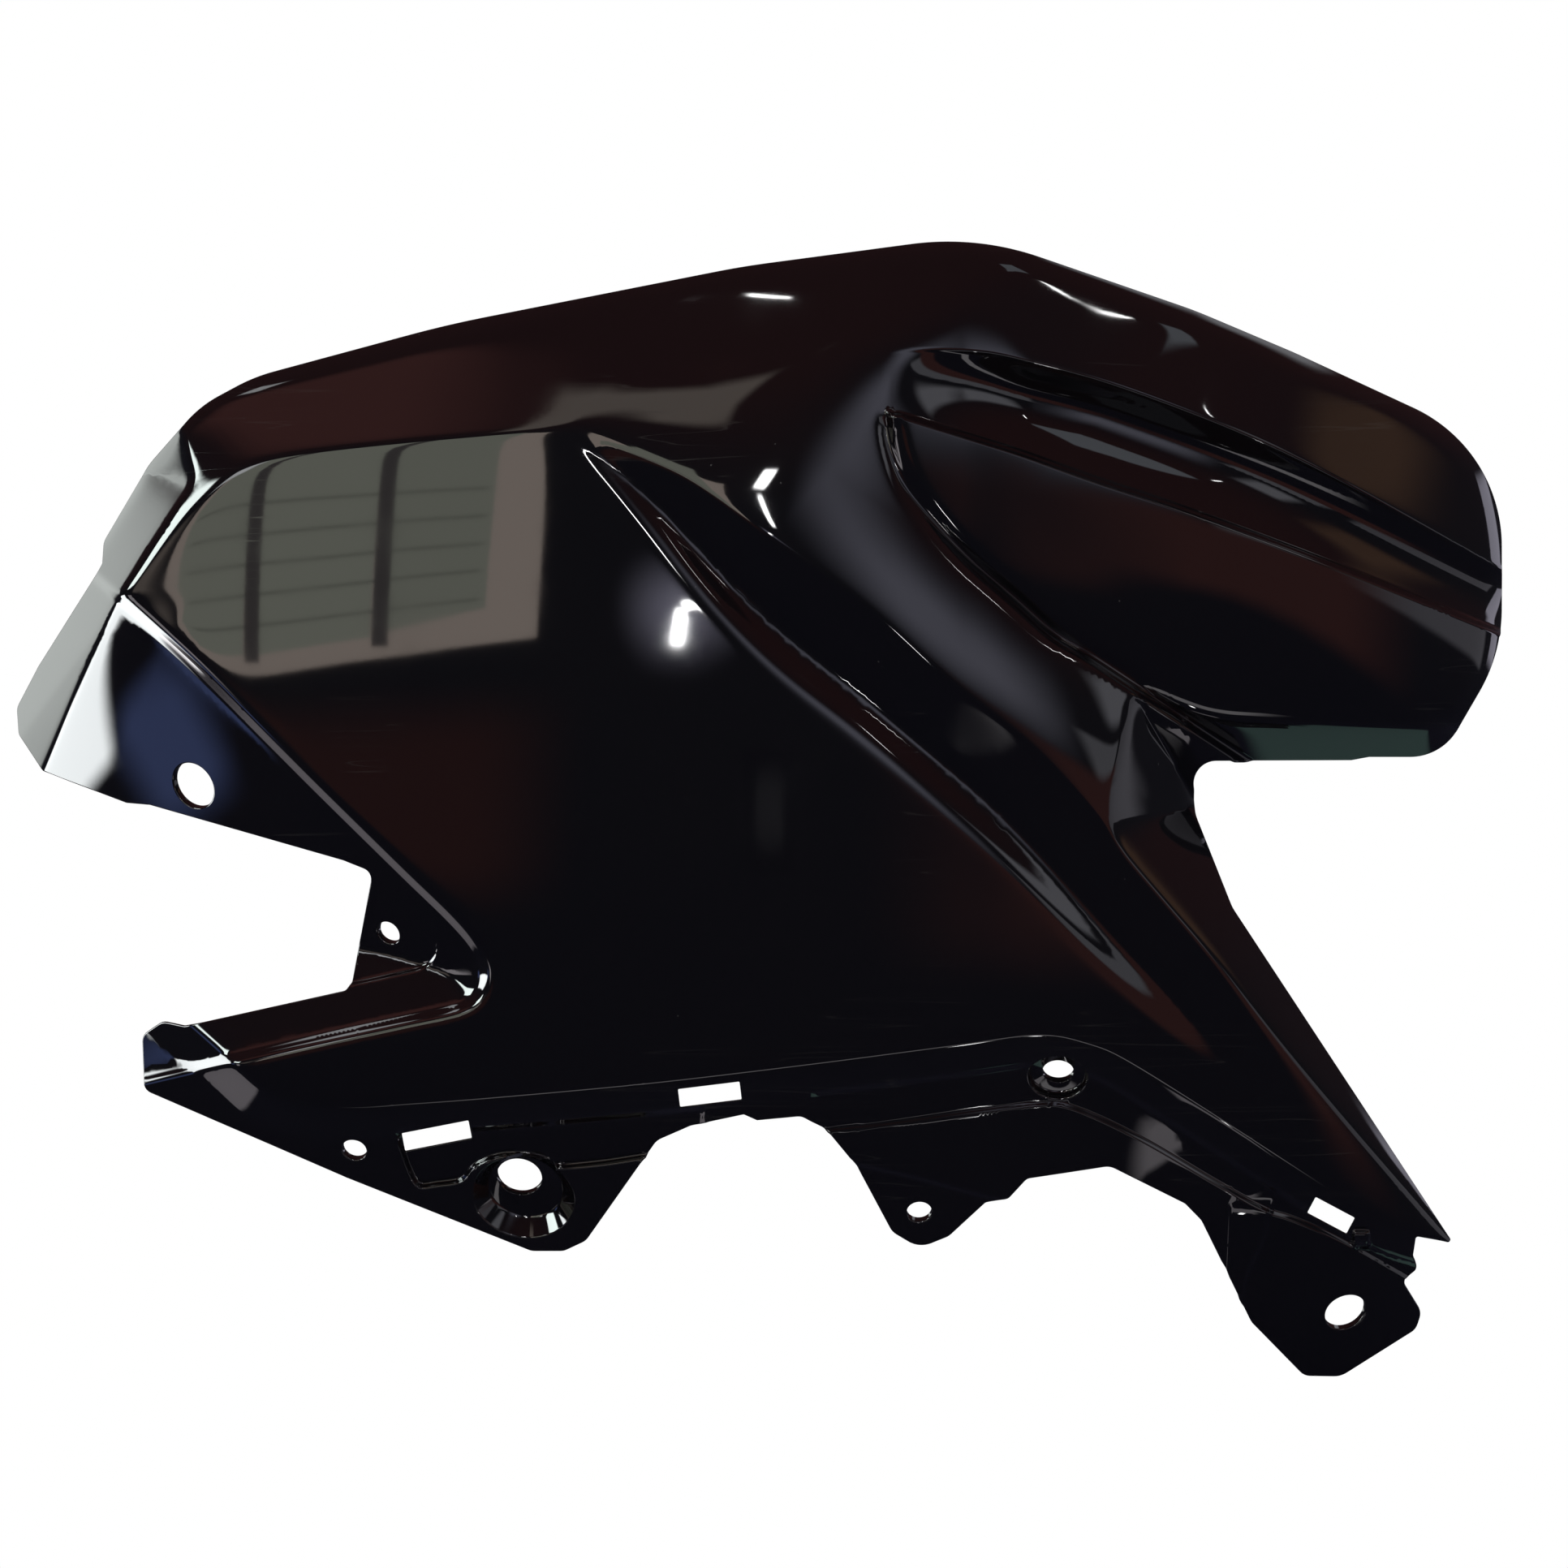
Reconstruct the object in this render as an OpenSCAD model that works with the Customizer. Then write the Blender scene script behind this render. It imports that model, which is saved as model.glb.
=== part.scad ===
// Left side fairing panel of a motorcycle, moulded in one piece.
// Seen from its outer face: +X runs to the rear of the bike, +Z is up, the outer
// face looks to -Y. The origin is the centre of the lower bolt hole, on the outer
// face of its seat. All sizes are in millimetres.

/* [Overall size] */
// Length over the nose and the rear lobe
panel_length = 504; // [450:2:560]
// Height from the rear tab to the top edge
panel_height = 385; // [340:1:430]
// Thickness of the moulding
wall = 2.5; // [2:0.1:3.5]

/* [Body crown] */
// How far the crown of the body stands out over the plane it bulges from
crown_rise = 75; // [65:1:85]
// Radius of the crown along the bike
crown_radius_x = 620; // [520:10:800]
// Radius of the crown from bottom to top
crown_radius_z = 695; // [560:5:900]
// Radius with which the rear lobe wraps inwards
rear_radius = 150; // [120:5:240]

/* [Shoulder and top edge] */
// Fall of the top band behind the shoulder line, per millimetre
band_slope = 0.32; // [0.2:0.01:0.45]
// Fall of the rolled top edge, per millimetre
edge_slope = 0.9; // [0.5:0.05:1.1]
// Fall of the nose facet, per millimetre
nose_slope = 1.25; // [0.9:0.05:1.4]

/* [Diagonal channel and strip] */
// Depth of the spear-shaped channel
channel_depth = 9; // [5:0.5:12]
// How far the strip behind the channel stands over the face
strip_rise = 7; // [3:0.5:10]
// Curl of the strip towards the lobe
strip_curl = 0.012; // [0.006:0.001:0.016]
// Fall of the flank behind the strip and under the lobe, per millimetre
flank_slope = 1.1; // [0.7:0.05:1.3]

/* [Rear lobe] */
// Depth of the long scoop along the lobe
scoop_depth = 9; // [5:0.5:12]
// Radius of the face below the scoop
lobe_radius = 220; // [160:10:320]

/* [Border ledges] */
// Width of the wall that steps down from the face to the lower ledge
low_wall = 11; // [8:0.5:13]
// Fall of that wall, per millimetre
low_wall_slope = 0.9; // [0.6:0.05:1.2]
// Extra fall of the lower ledge, per millimetre
low_ledge_slope = 0.45; // [0.3:0.05:0.6]
// Width of the wall that steps down to the front ledge
front_wall = 3.3; // [2.5:0.1:5]
// Fall of that wall, per millimetre
front_wall_slope = 1.2; // [0.8:0.1:1.5]
// Extra fall of the front ledge, per millimetre
front_ledge_slope = 0.5; // [0.3:0.05:0.65]
// Depth of the shelf pressed into the lower ledge
shelf_depth = 3; // [1.5:0.5:4]

/* [Bolt seats] */
// Bore of the lower bolt hole
low_bolt_d = 15.4; // [12:0.2:17]
// Depth of its cup under the ledge
cup_depth = 6; // [4.5:0.5:7.5]
// How far the centre of the cup lies below that bore
cup_drop = 4.2; // [3:0.2:4.8]
// Least width of the cup's floor beside that bore
cup_floor = 0.4; // [0.3:0.1:1.2]
// Widening of the cup up to the ledge
cup_draft = 4.6; // [3.6:0.2:5.4]
// Bore of the front bolt hole
front_bolt_d = 16.4; // [12:0.2:18]
// Bore of the rear bolt hole
rear_bolt_d = 14.4; // [12:0.2:16]
// Bore of the small screw holes
screw_d = 8.4; // [6:0.2:9]
// Bore of the hole in the corner of the lower wall
corner_d = 10.6; // [8:0.2:12]
// Depth of the flat seat pressed in around that hole
seat_depth = 1.6; // [1.2:0.1:2.4]
// Width of that seat around the hole
seat_floor = 4; // [3:0.5:5]

/* [Hook slots] */
// Height of each slot as seen from the front
slot_height = 6; // [5:0.2:7]
// Length of the front slot
front_slot = 23; // [16:1:26]
// Length of the middle slot
mid_slot = 21; // [14:1:24]
// Length of the rear slot
rear_slot = 15; // [10:1:18]

/* [Hidden] */
kx = panel_length / 504;
kz = panel_height / 385;
gloss_black = [0.03, 0.03, 0.035];
far = 300;

function sc(p) = [p[0] * kx, p[1] * kz];

// 0 below a, 1 above b, with a smooth step between
function sm(a, b, v) = let (t = max(0, min(1, (v - a) / (b - a)))) t * t * (3 - 2 * t);
// 0 before the line, rising by 1 per millimetre behind it, rounded by r
function ramp(d, r) = 0.5 * (d + sqrt(d * d + r * r));
// rolls over like an arc at first and goes on straight after 30 mm
function roll(d) = d < 30 ? d * d / 2 : 450 + 30 * (d - 30);

// a curve through the given points, n pieces between each two of them
function curve(p, n) = let (
    m = len(p) - 1,
    q = [for (v = p) sc(v)],
    e = concat([2 * q[0] - q[1]], q, [2 * q[m] - q[m - 1]])
) concat([for (i = [0 : m - 1]) for (k = [0 : n - 1])
    let (t = k / n, a = e[i], b = e[i + 1], c = e[i + 2], d = e[i + 3])
    0.5 * (2 * b + (c - a) * t + (2 * a - 5 * b + 4 * c - d) * t * t
        + (3 * b - a - 3 * c + d) * t * t * t)], [q[m]]);

// the same curve with both ends running on straight
function line(p, n = 4) = let (c = curve(p, n), m = len(c) - 1,
    u = (c[0] - c[1]) / norm(c[0] - c[1]), w = (c[m] - c[m - 1]) / norm(c[m] - c[m - 1]))
    concat([c[0] + far * u], c, [c[m] + far * w]);

// for each piece of a line: squared distance, and on which side the point lies
function parts_of(p, c) = [for (i = [0 : len(c) - 2])
    let (d = c[i + 1] - c[i], w = p - c[i], t = max(0, min(1, (w * d) / (d * d))), e = w - t * d)
    [e * e, (d[0] * w[1] - d[1] * w[0]) / norm(d), i, t]];
// signed distance to a line, positive on its left hand
function sd(p, c) = let (v = parts_of(p, c), m = min([for (q = v) q[0]]),
    s = [for (q = v) if (q[0] <= m + 1e-7) q[1]], hi = max(s), lo = min(s))
    (hi > -lo ? 1 : -1) * sqrt(m);
// the point of a line that is nearest to p
function near(p, c) = let (v = parts_of(p, c), m = min([for (q = v) q[0]]),
    k = [for (q = v) if (q[0] <= m + 1e-7) q][0]) c[k[2]] + k[3] * (c[k[2] + 1] - c[k[2]]);

// Feature lines of the moulding, in the X-Z plane.
// shoulder: upper edge of the main face, running on as upper edge of the scoop
shoulder = line([[-133.5, 197], [-117, 219.5], [-108.5, 229], [-97.5, 238], [-85, 243], [-66, 246],
    [-38.5, 249], [-11, 251.5], [14, 254], [44, 260], [85, 271.5], [126.5, 280], [154, 280],
    [172, 276.5], [209, 266], [264, 243.5], [327, 209]]);
// front crease of the face, its turn above the front arm, and the lower edge of the face
front_edge = [[-133.5, 196.5], [-110, 175.5], [-82.5, 148], [-66, 131.5], [-38.5, 104.5], [-22, 88.5],
    [-14, 79], [-10, 70], [-12, 61.5], [-19, 56], [-38.5, 51.5], [-66, 45.5], [-96.5, 38.5]];
low_edge = [[-96.5, 38.5], [-84, 28], [-66, 23.5], [-52.5, 23], [-38.5, 24], [-11, 26], [44, 31],
    [99, 37.5], [148.5, 44], [176, 47.5], [192.5, 44.5], [209, 37], [264, 2], [291.5, -15], [316, -23]];
front_line = line(front_edge);
low_line = line(low_edge);
border = let (a = front_line, b = low_line) concat([for (i = [0 : len(a) - 2]) a[i]],
    [for (i = [2 : len(b) - 1]) b[i]]);
// channel: soft ridge on its front side, sharp crease on its rear side
ridge = line([[14, 253], [27.5, 241.5], [41, 225], [64.5, 194], [86.5, 170.5], [113, 150],
    [136, 130.5], [168, 100.5], [209, 58], [264, 8], [316, -22.5]]);
crease = line([[16.5, 255], [41, 244], [58, 236], [85, 216], [99, 206.5], [119, 192],
    [147.5, 166.5], [173, 147], [191, 128], [202, 114], [217.5, 95], [236.5, 73], [264, 38.5],
    [316, -22.5]]);
// lobe: where it meets the strip, and the crest under the scoop
lobe_line = line([[126.5, 260], [126, 253], [128, 245], [131.5, 235], [140, 223], [154, 207.5],
    [168, 195.5], [181.5, 183], [190.5, 178], [205, 168.5]]);
crest = line([[126.5, 259], [148.5, 252], [168, 246], [195.5, 236], [223, 227], [278, 206.5],
    [330, 185.5]], 1);
// flank: under the lobe, down the end of the strip, down the pillar to the tip
flank = line([[333, 153], [308, 153], [253, 154.5], [234, 156], [220, 161], [212, 164.5],
    [207.5, 161.5], [203.5, 143], [200, 128], [202, 114], [217.5, 95], [236.5, 73], [264, 38.5],
    [316, -22.5]]);
nose_line = line([[-115, 256], [-112, 242], [-110.5, 236], [-117, 226], [-133.5, 200],
    [-138, 192], [-159.5, 141.5], [-165, 129]], 1);
top_line = line([[-135, 223], [-121, 245], [-110, 256], [-96.5, 264], [-60.5, 274.5], [0, 289.5],
    [71.5, 304], [99, 308], [126.5, 311.5], [143, 312.5], [162, 310], [181.5, 304.5], [242, 282.5],
    [291.5, 260], [316, 246], [323, 236.5], [328, 212], [326.5, 184.5], [322.5, 168], [316, 157],
    [311, 144.5], [360.5, 14]], 1);
// steps pressed into the lower ledge
shelf_line = line([[-45.5, 21.5], [-41, 9.5], [-38, 1.5], [-34.5, -4], [-27.5, -3.5], [-19, -2],
    [-14.5, 3], [-7, 6], [0, 6.5], [7, 5.5], [12.5, 2.5], [27.5, 3.5], [44, 6]], 1);
rear_step = line([[103, 14.5], [126.5, 17], [154, 21], [176, 23.5], [187, 22.5], [209, 12.5],
    [236.5, -3.5], [253, -12.5], [261, -15], [278, -22.5], [301, -35.5]], 1);
tab_step = line([[110, 7], [116, 5], [132, 1.5], [158, -5.5], [170.5, -8]], 1);

// Height of the outer face towards the viewer, over the point [x, z].
function crown(x, z) = crown_rise - pow(x - 135 * kx, 2) / (2 * crown_radius_x)
    - pow(z - 237 * kz, 2) / (2 * crown_radius_z) - pow(max(x - 225 * kx, 0), 2) / (2 * rear_radius);

function upper(p, x, z) = let (
    s = (p[0] - 16.5) * 0.737 - (p[1] - 253) * 0.676,
    ds = sd(p, shoulder), dr = sd(p, ridge), df = sd(p, crease), dc = sd(p, crest), db = sd(p, lobe_line),
    soft = 0.8 + 14 * sm(0, 70, x) * (1 - sm(150, 175, x)),
    // channel and strip
    a = max(dr, 0), b = max(-df, 0), w = a / max(a + b, 0.001),
    cut = w < 0.38 ? sm(0, 0.38, w) : (1 - w) / 0.62,
    strip = strip_rise * sm(0, 75, s) * (1 - sm(190, 360, s)) * w
        - channel_depth * sm(0, 80, s) * (1 - sm(170, 330, s)) * cut,
    curl = (0.25 + 0.75 * sm(50, 130, s)) * strip_curl * roll(max(0, min(60, df))),
    // lobe
    c = max(dc, 0), v = c / max(c + max(-ds, 0), 0.001), l = max(-dc, 0),
    dish = dc > 0 && ds < 0 ? (v < 0.6 ? sin(150 * v) : cos(225 * (v - 0.6))) : 0,
    scoop = scoop_depth * sm(-2, 50, x - 124) * (0.6 + 0.4 * (1 - sm(76, 196, x - 124)))
        * dish * sm(-3, 3, x - 124),
    on_lobe = sm(-3, 1, db) * sm(-1, 1, -dc),
    seam = 2 * exp(-pow(db / 3, 2)) * sm(0, 6, -dc) * (1 - sm(45, 75, x - 121))
) -band_slope * ramp(ds, soft) + strip - curl - scoop - seam
    + on_lobe * (0.75 * curl - 0.1 * l - l * l / (2 * lobe_radius))
    - flank_slope * ramp(sd(p, flank), 1.2);

function rim(p) = let (dt = sd(p, top_line))
    -0.45 * ramp(dt, 1.5) - edge_slope * ramp(dt - 5, 1.5) - nose_slope * ramp(-sd(p, nose_line), 0.8);

function ledge(p, x) = let (
    d = -sd(p, border),
    low = sm(-4, 4, abs(sd(p, front_line)) - abs(sd(p, low_line))),
    w = front_wall + (low_wall - front_wall) * low,
    f = front_wall_slope + (low_wall_slope - front_wall_slope) * low,
    g = front_ledge_slope + (low_ledge_slope - front_ledge_slope) * low,
    past = sm(low_wall - 3, low_wall, d)
) d < -20 ? 0 : -f * (ramp(d, 1) - ramp(d - w, 1)) - g * ramp(d - w, 1)
    - shelf_depth * sm(0, 2.2, sd(p, shelf_line)) * past * (1 - sm(60, 64, x))
    - 1.6 * sm(0, 2.2, sd(p, rear_step)) * past * sm(96, 102, x)
    - 2 * sm(0, 2.5, -sd(p, tab_step)) * sm(100, 105, x) * (1 - sm(168, 172, x));

function height(p) = let (x = p[0] / kx, z = p[1] / kz) crown(p[0], p[1]) + upper(p, x, z) + rim(p) + ledge(p, x);

// slope of the outer face at p, taken over 3 mm each way
function slope(p) = [(height(p + [3, 0]) - height(p - [3, 0])) / 6, (height(p + [0, 3]) - height(p - [0, 3])) / 6];
// ledge height at the lower bolt: the floor of its cup is at Y = 0
low_slope = slope([0, 0]);
ledge_y = cup_depth * norm([low_slope[0], 1, low_slope[1]]);
datum = height([0, 0]) - ledge_y;
function face_y(p) = datum - height(p);

// Net of points that carries the skin. Each row follows a feature line where one
// is named, so that the creases lie on edges of the net.
stations = [3, 6, 9, 4, 11, 9, 8, 6, 2];
net = [
    [[[-159.5, 3], [-135, 8], [-96.5, 0], [-11, -38.5], [29, -41], [121, -38.5], [181.5, -30.5],
        [264, -80], [313.5, -91], [335.5, -96.5]], 5],
    [[[-159.5, 22], [-135, 31.5], [-96.5, 24], [-11, 14.5], [29, 17.5], [121, 29], [179, 36],
        [264, -10.5], [311, -31.5], [335.5, -55]], 2],
    [[[-159.5, 41], [-135, 41], [-96.5, 36.5], [-11, 26], [29, 29.5], [121, 40.5], [177.5, 47.5],
        [264, 2], [304, -20], [335.5, -41]], 2],
    [[[-159.5, 51.5], [-135, 48], [-96.5, 41], [-14.5, 59], [29, 55], [121, 60.5], [181.5, 56.5],
        [264, 5], [304.5, -18.5], [336, -39]], 4],
    [[[-187, 129], [-161.5, 137.5], [-107.5, 118.5], [-22, 70], [29, 64.5], [121, 71.5], [179.5, 64.5],
        [263, 7], [305.5, -17], [336.5, -37.5]], 3],
    [[[-176, 187], [-134, 196], [-91, 156], [-13, 78.5], [29, 75.5], [119.5, 84], [177.5, 74],
        [262.5, 8.5], [306.5, -15.5], [337, -36]], 6],
    [[[-157, 223], [-132, 201], [-88, 243], [-11, 251.5], [16.5, 252], [110, 152], [174.5, 94],
        [261, 10.5], [307, -14.5], [337.5, -34]], 4],
    [[[-151, 234], [-125, 213], [-88, 253], [-11, 260], [27.5, 251.5], [119, 192], [202, 114],
        [264, 38.5], [308.5, -13], [339, -30.5]], 7],
    [[[-146, 242], [-119.5, 221.5], [-85, 261], [-11, 269.5], [44, 267], [126, 253], [206.5, 166.5],
        [275, 154], [319, 153], [346.5, 153]], 4],
    [[[-141.5, 249], [-116, 227], [-84, 265.5], [-11, 275], [49.5, 275], [128, 259], [209, 231.5],
        [275, 207.5], [326, 186.5], [346.5, 179]], 4],
    [[[-137.5, 256], [-113, 232.5], [-82.5, 269.5], [-11, 280.5], [52.5, 283], [140, 279], [209, 266],
        [275, 238], [327, 209], [346.5, 201]], 3],
    [[[-135, 264], [-110.5, 236.5], [-81, 269], [-11, 287], [55, 300.5], [143, 312], [209, 294],
        [275, 267.5], [319, 242.5], [346.5, 234]], 2],
    [[[-135, 289], [-121, 269.5], [-93.5, 278], [-11, 300], [55, 313.5], [143, 327], [209, 311],
        [275, 286], [333, 261], [349, 256]], 0]
];
// row, line it follows, first and last X where it does
guides = [[2, low_line, -80, 300], [3, front_line, -82, -14], [5, front_line, -128, -15],
    [6, shoulder, -124, 12], [6, ridge, 16, 300], [7, crease, 28, 300], [8, lobe_line, 126, 205],
    [8, flank, 214, 318], [9, crest, 128, 326], [10, shoulder, 140, 326], [11, top_line, -95, 318]];

cols = [for (s = [0 : len(stations) - 1]) for (k = [0 : stations[s] - 1]) [s, k / stations[s]],
    [len(stations) - 1, 1]];
function guided(j, p) = let (g = [for (g = guides) if (g[0] == j && p[0] >= g[2] * kx && p[0] <= g[3] * kx) g[1]])
    len(g) > 0 ? near(p, g[0]) : p;
main_rows = [for (j = [0 : len(net) - 1]) let (r = net[j][0])
    [for (c = cols) guided(j, sc(r[c[0]] + c[1] * (r[c[0] + 1] - r[c[0]])))]];
rows = [for (j = [0 : len(net) - 2]) for (k = [0 : net[j][1] - 1]) let (t = k / net[j][1])
    [for (i = [0 : len(cols) - 1]) main_rows[j][i] * (1 - t) + main_rows[j + 1][i] * t],
    main_rows[len(net) - 1]];

module skin() {
    nx = len(cols);
    nz = len(rows);
    outer = [for (r = rows) [for (p = r) [p[0], face_y(p), p[1]]]];
    // how much deeper the inner face lies, so that the wall is even where the face slopes
    deep = [for (j = [0 : nz - 1]) [for (i = [0 : nx - 1]) let (
        a = outer[j][min(i + 1, nx - 1)] - outer[j][max(i - 1, 0)],
        b = outer[min(j + 1, nz - 1)][i] - outer[max(j - 1, 0)][i],
        n = cross(a, b)) wall * min(1.9, norm(n) / max(abs(n[1]), 0.001))]];
    pts = concat([for (r = outer) each r],
        [for (j = [0 : nz - 1]) for (i = [0 : nx - 1]) outer[j][i] + [0, deep[j][i], 0]]);
    m = nx * nz;
    // each cell is split along the diagonal that runs closer to the true face
    front = [for (j = [0 : nz - 2]) for (i = [0 : nx - 2]) let (
        a = j * nx + i, b = a + 1, c = a + nx + 1, d = a + nx,
        mid = (pts[a] + pts[b] + pts[c] + pts[d]) / 4, y = 2 * face_y([mid[0], mid[2]]))
        each (abs(pts[a][1] + pts[c][1] - y) < abs(pts[b][1] + pts[d][1] - y)
            ? [[a, c, b], [a, d, c]] : [[a, d, b], [b, d, c]])];
    rim_ids = concat([for (i = [0 : nx - 2]) i], [for (j = [0 : nz - 2]) j * nx + nx - 1],
        [for (i = [nx - 1 : -1 : 1]) (nz - 1) * nx + i], [for (j = [nz - 1 : -1 : 1]) j * nx]);
    k = len(rim_ids);
    side = [for (i = [0 : k - 1]) let (a = rim_ids[i], b = rim_ids[(i + 1) % k])
        each [[a, b, b + m], [a, b + m, a + m]]];
    polyhedron(points = pts, faces = concat(front, [for (f = front) [f[0] + m, f[2] + m, f[1] + m]], side),
        convexity = 12);
}

// Outline corners: x, z, radius of the corner.
outline = [[142.5, 318, 30], [174, 312.5, 30], [242.5, 288, 0], [313, 254.5, 20], [327.5, 240, 12],
    [333.5, 213, 25], [332, 183.5, 25], [327, 166.5, 10], [314, 146, 8], [303, 142, 6],
    [228, 141, 8], [229.5, 123, 12], [241.5, 90, 15], [316.5, -22, 1], [304, -20, 1], [303, -27, 2],
    [304.5, -31.5, 2], [299.5, -35.5, 2], [306, -46, 5], [303, -52, 6], [278, -67.5, 8],
    [264, -68, 8], [248, -49.5, 6], [231, -13.5, 8], [224.5, -6, 6], [199, 3.5, 6], [171, -0.5, 3],
    [165.5, -8, 3], [158, -9, 2], [146.5, -19.5, 6], [135, -25, 7], [126, -19.5, 6], [114.5, 3, 6],
    [104, 16, 6], [95.5, 20.5, 5], [80.5, 18.5, 0], [76, 21.5, 1], [57, 17.5, 1], [47, 13, 6],
    [22, -21.5, 5], [14.5, -25, 5], [4.5, -25, 5], [-58.5, -0.5, 0], [-126.5, 30.5, 4],
    [-128, 48, 4], [-124.5, 51, 2], [-59, 63.5, 2], [-56, 67, 2], [-50.5, 103, 4], [-60, 107.5, 5],
    [-125.5, 126.5, 0], [-133.5, 127, 2], [-153.5, 135.5, 0], [-162, 137.5, 2], [-170, 150, 3],
    [-171, 160, 4], [-163.5, 173, 12], [-143, 204, 0], [-140.5, 206, 0], [-141, 216.5, 3],
    [-126.5, 242, 6], [-110, 259, 10], [-89.5, 271, 10], [-24.5, 289.5, 0], [75.5, 309, 40]];

function rounded(c) = [for (i = [0 : len(c) - 1]) let (
    n = len(c), b = [c[i][0], c[i][1]], r = c[i][2],
    p = c[(i + n - 1) % n], q = c[(i + 1) % n],
    u = [p[0], p[1]] - b, w = [q[0], q[1]] - b, eu = u / norm(u), ew = w / norm(w),
    half = acos(max(-1, min(1, eu * ew))) / 2,
    cut = min(r / tan(half), 0.48 * norm(u), 0.48 * norm(w)), rr = cut * tan(half),
    mid = b + (eu + ew) / norm(eu + ew) * (rr / sin(half)),
    k = r == 0 ? 0 : max(2, ceil((180 - 2 * half) / 15)),
    a0 = atan2((b + eu * cut - mid)[1], (b + eu * cut - mid)[0]),
    a1 = atan2((b + ew * cut - mid)[1], (b + ew * cut - mid)[0]),
    da = a1 - a0 > 180 ? a1 - a0 - 360 : a1 - a0 < -180 ? a1 - a0 + 360 : a1 - a0)
    each (r == 0 ? [b] : [for (s = [0 : k]) mid + rr * [cos(a0 + da * s / k), sin(a0 + da * s / k)]])];

module outline_prism() rotate([90, 0, 0]) translate([0, 0, -far]) linear_extrude(2 * far)
    polygon(rounded([for (p = outline) concat(sc(p), p[2])]));

// Holes: place and bore, the bolt hole of the cup first.
low_bolt = [0, 0];
front_bolt = sc([-110.5, 132.5]);
rear_bolt = sc([280, -46]);
front_screw = sc([-44.5, 82.5]);
arm_screw = sc([-56, 9]);
tab_screw = sc([135.5, -12]);
corner_hole = sc([182.5, 34.5]);
holes = [[front_bolt, front_bolt_d], [rear_bolt, rear_bolt_d], [front_screw, screw_d],
    [arm_screw, screw_d], [tab_screw, screw_d]];

// Turns its child so that +Z points straight out of a face with the slope g.
module facing(g) multmatrix(let (n = [-g[0], -1, -g[1]] / norm([g[0], 1, g[1]]),
    u = [1, -g[0], 0] / norm([1, g[0]]), v = cross(n, u))
    [[u[0], v[0], n[0], 0], [u[1], v[1], n[1], 0], [u[2], v[2], n[2], 0]]) children();

module bore(d) translate([0, 0, -8]) cylinder(d = d, h = 16, $fn = 64);

// A hollow seat with its floor at Z = 0: d1 wide at the floor, d2 at the height h.
// The wall around it ends at the height top, behind the face.
module seat_space(d1, d2, h) {
    cylinder(d1 = d1, d2 = d2, h = h, $fn = 72);
    translate([0, 0, h - 0.01]) cylinder(d = d2, h = 6, $fn = 72);
}
module seat_body(d1, d2, h, top) difference() {
    translate([0, 0, -wall]) cylinder(d1 = d1 + 1.2 * wall, d2 = d2 + 1.2 * wall + 2,
        h = top + wall, $fn = 72);
    seat_space(d1, d2, h);
}

cup_shift = 1.8;
floor_d = low_bolt_d + 2 * (norm([cup_shift, cup_drop]) + cup_floor);
module at_cup() facing(low_slope) translate([cup_shift, -cup_drop, 0]) children();
seat_d = corner_d + 2 * seat_floor;
module at_corner() translate([corner_hole[0], face_y(corner_hole), corner_hole[1]])
    facing(slope(corner_hole)) translate([0, 0, -seat_depth]) children();

// Hook slot, cut along the pull of the mould: len long, its rear end turned up by a.
module slot(p, a, len) translate([sc(p)[0], 0, sc(p)[1]]) rotate([0, -a, 0])
    cube([len, 400, slot_height], center = true);

module fairing_panel() color(gloss_black) difference() {
    union() {
        difference() {
            intersection() {
                skin();
                outline_prism();
            }
            at_cup() seat_space(floor_d, floor_d + 2 * cup_draft, cup_depth);
            at_corner() seat_space(seat_d, seat_d + 1.4, seat_depth);
        }
        intersection() {
            at_cup() seat_body(floor_d, floor_d + 2 * cup_draft, cup_depth, cup_depth - 0.4);
            outline_prism();
        }
        at_corner() seat_body(seat_d, seat_d + 1.4, seat_depth, seat_depth + 0.5);
    }
    facing(low_slope) bore(low_bolt_d);
    at_corner() bore(corner_d);
    for (h = holes) translate([h[0][0], face_y(h[0]), h[0][1]]) facing(slope(h[0])) bore(h[1]);
    slot([-28, 14], 11, front_slot);
    slot([64.5, 28], 7, mid_slot);
    slot([275, -13], -28, rear_slot);
}

fairing_panel();
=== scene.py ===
import math
import bpy
import numpy as np
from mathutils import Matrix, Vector
from mathutils.geometry import delaunay_2d_cdt


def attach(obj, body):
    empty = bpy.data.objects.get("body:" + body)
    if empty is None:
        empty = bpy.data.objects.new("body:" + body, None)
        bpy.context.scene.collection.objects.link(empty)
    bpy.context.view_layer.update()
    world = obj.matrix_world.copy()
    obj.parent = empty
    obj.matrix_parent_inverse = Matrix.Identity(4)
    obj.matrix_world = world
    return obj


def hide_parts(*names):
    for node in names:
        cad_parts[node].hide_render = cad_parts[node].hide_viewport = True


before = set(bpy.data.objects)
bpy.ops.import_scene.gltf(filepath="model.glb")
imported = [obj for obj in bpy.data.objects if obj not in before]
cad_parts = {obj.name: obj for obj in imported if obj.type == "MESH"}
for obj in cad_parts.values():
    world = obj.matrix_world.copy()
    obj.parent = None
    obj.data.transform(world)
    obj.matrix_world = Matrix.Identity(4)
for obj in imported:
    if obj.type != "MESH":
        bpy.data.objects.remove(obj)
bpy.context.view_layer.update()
print("frame loaded")

mm = 0.001

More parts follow.
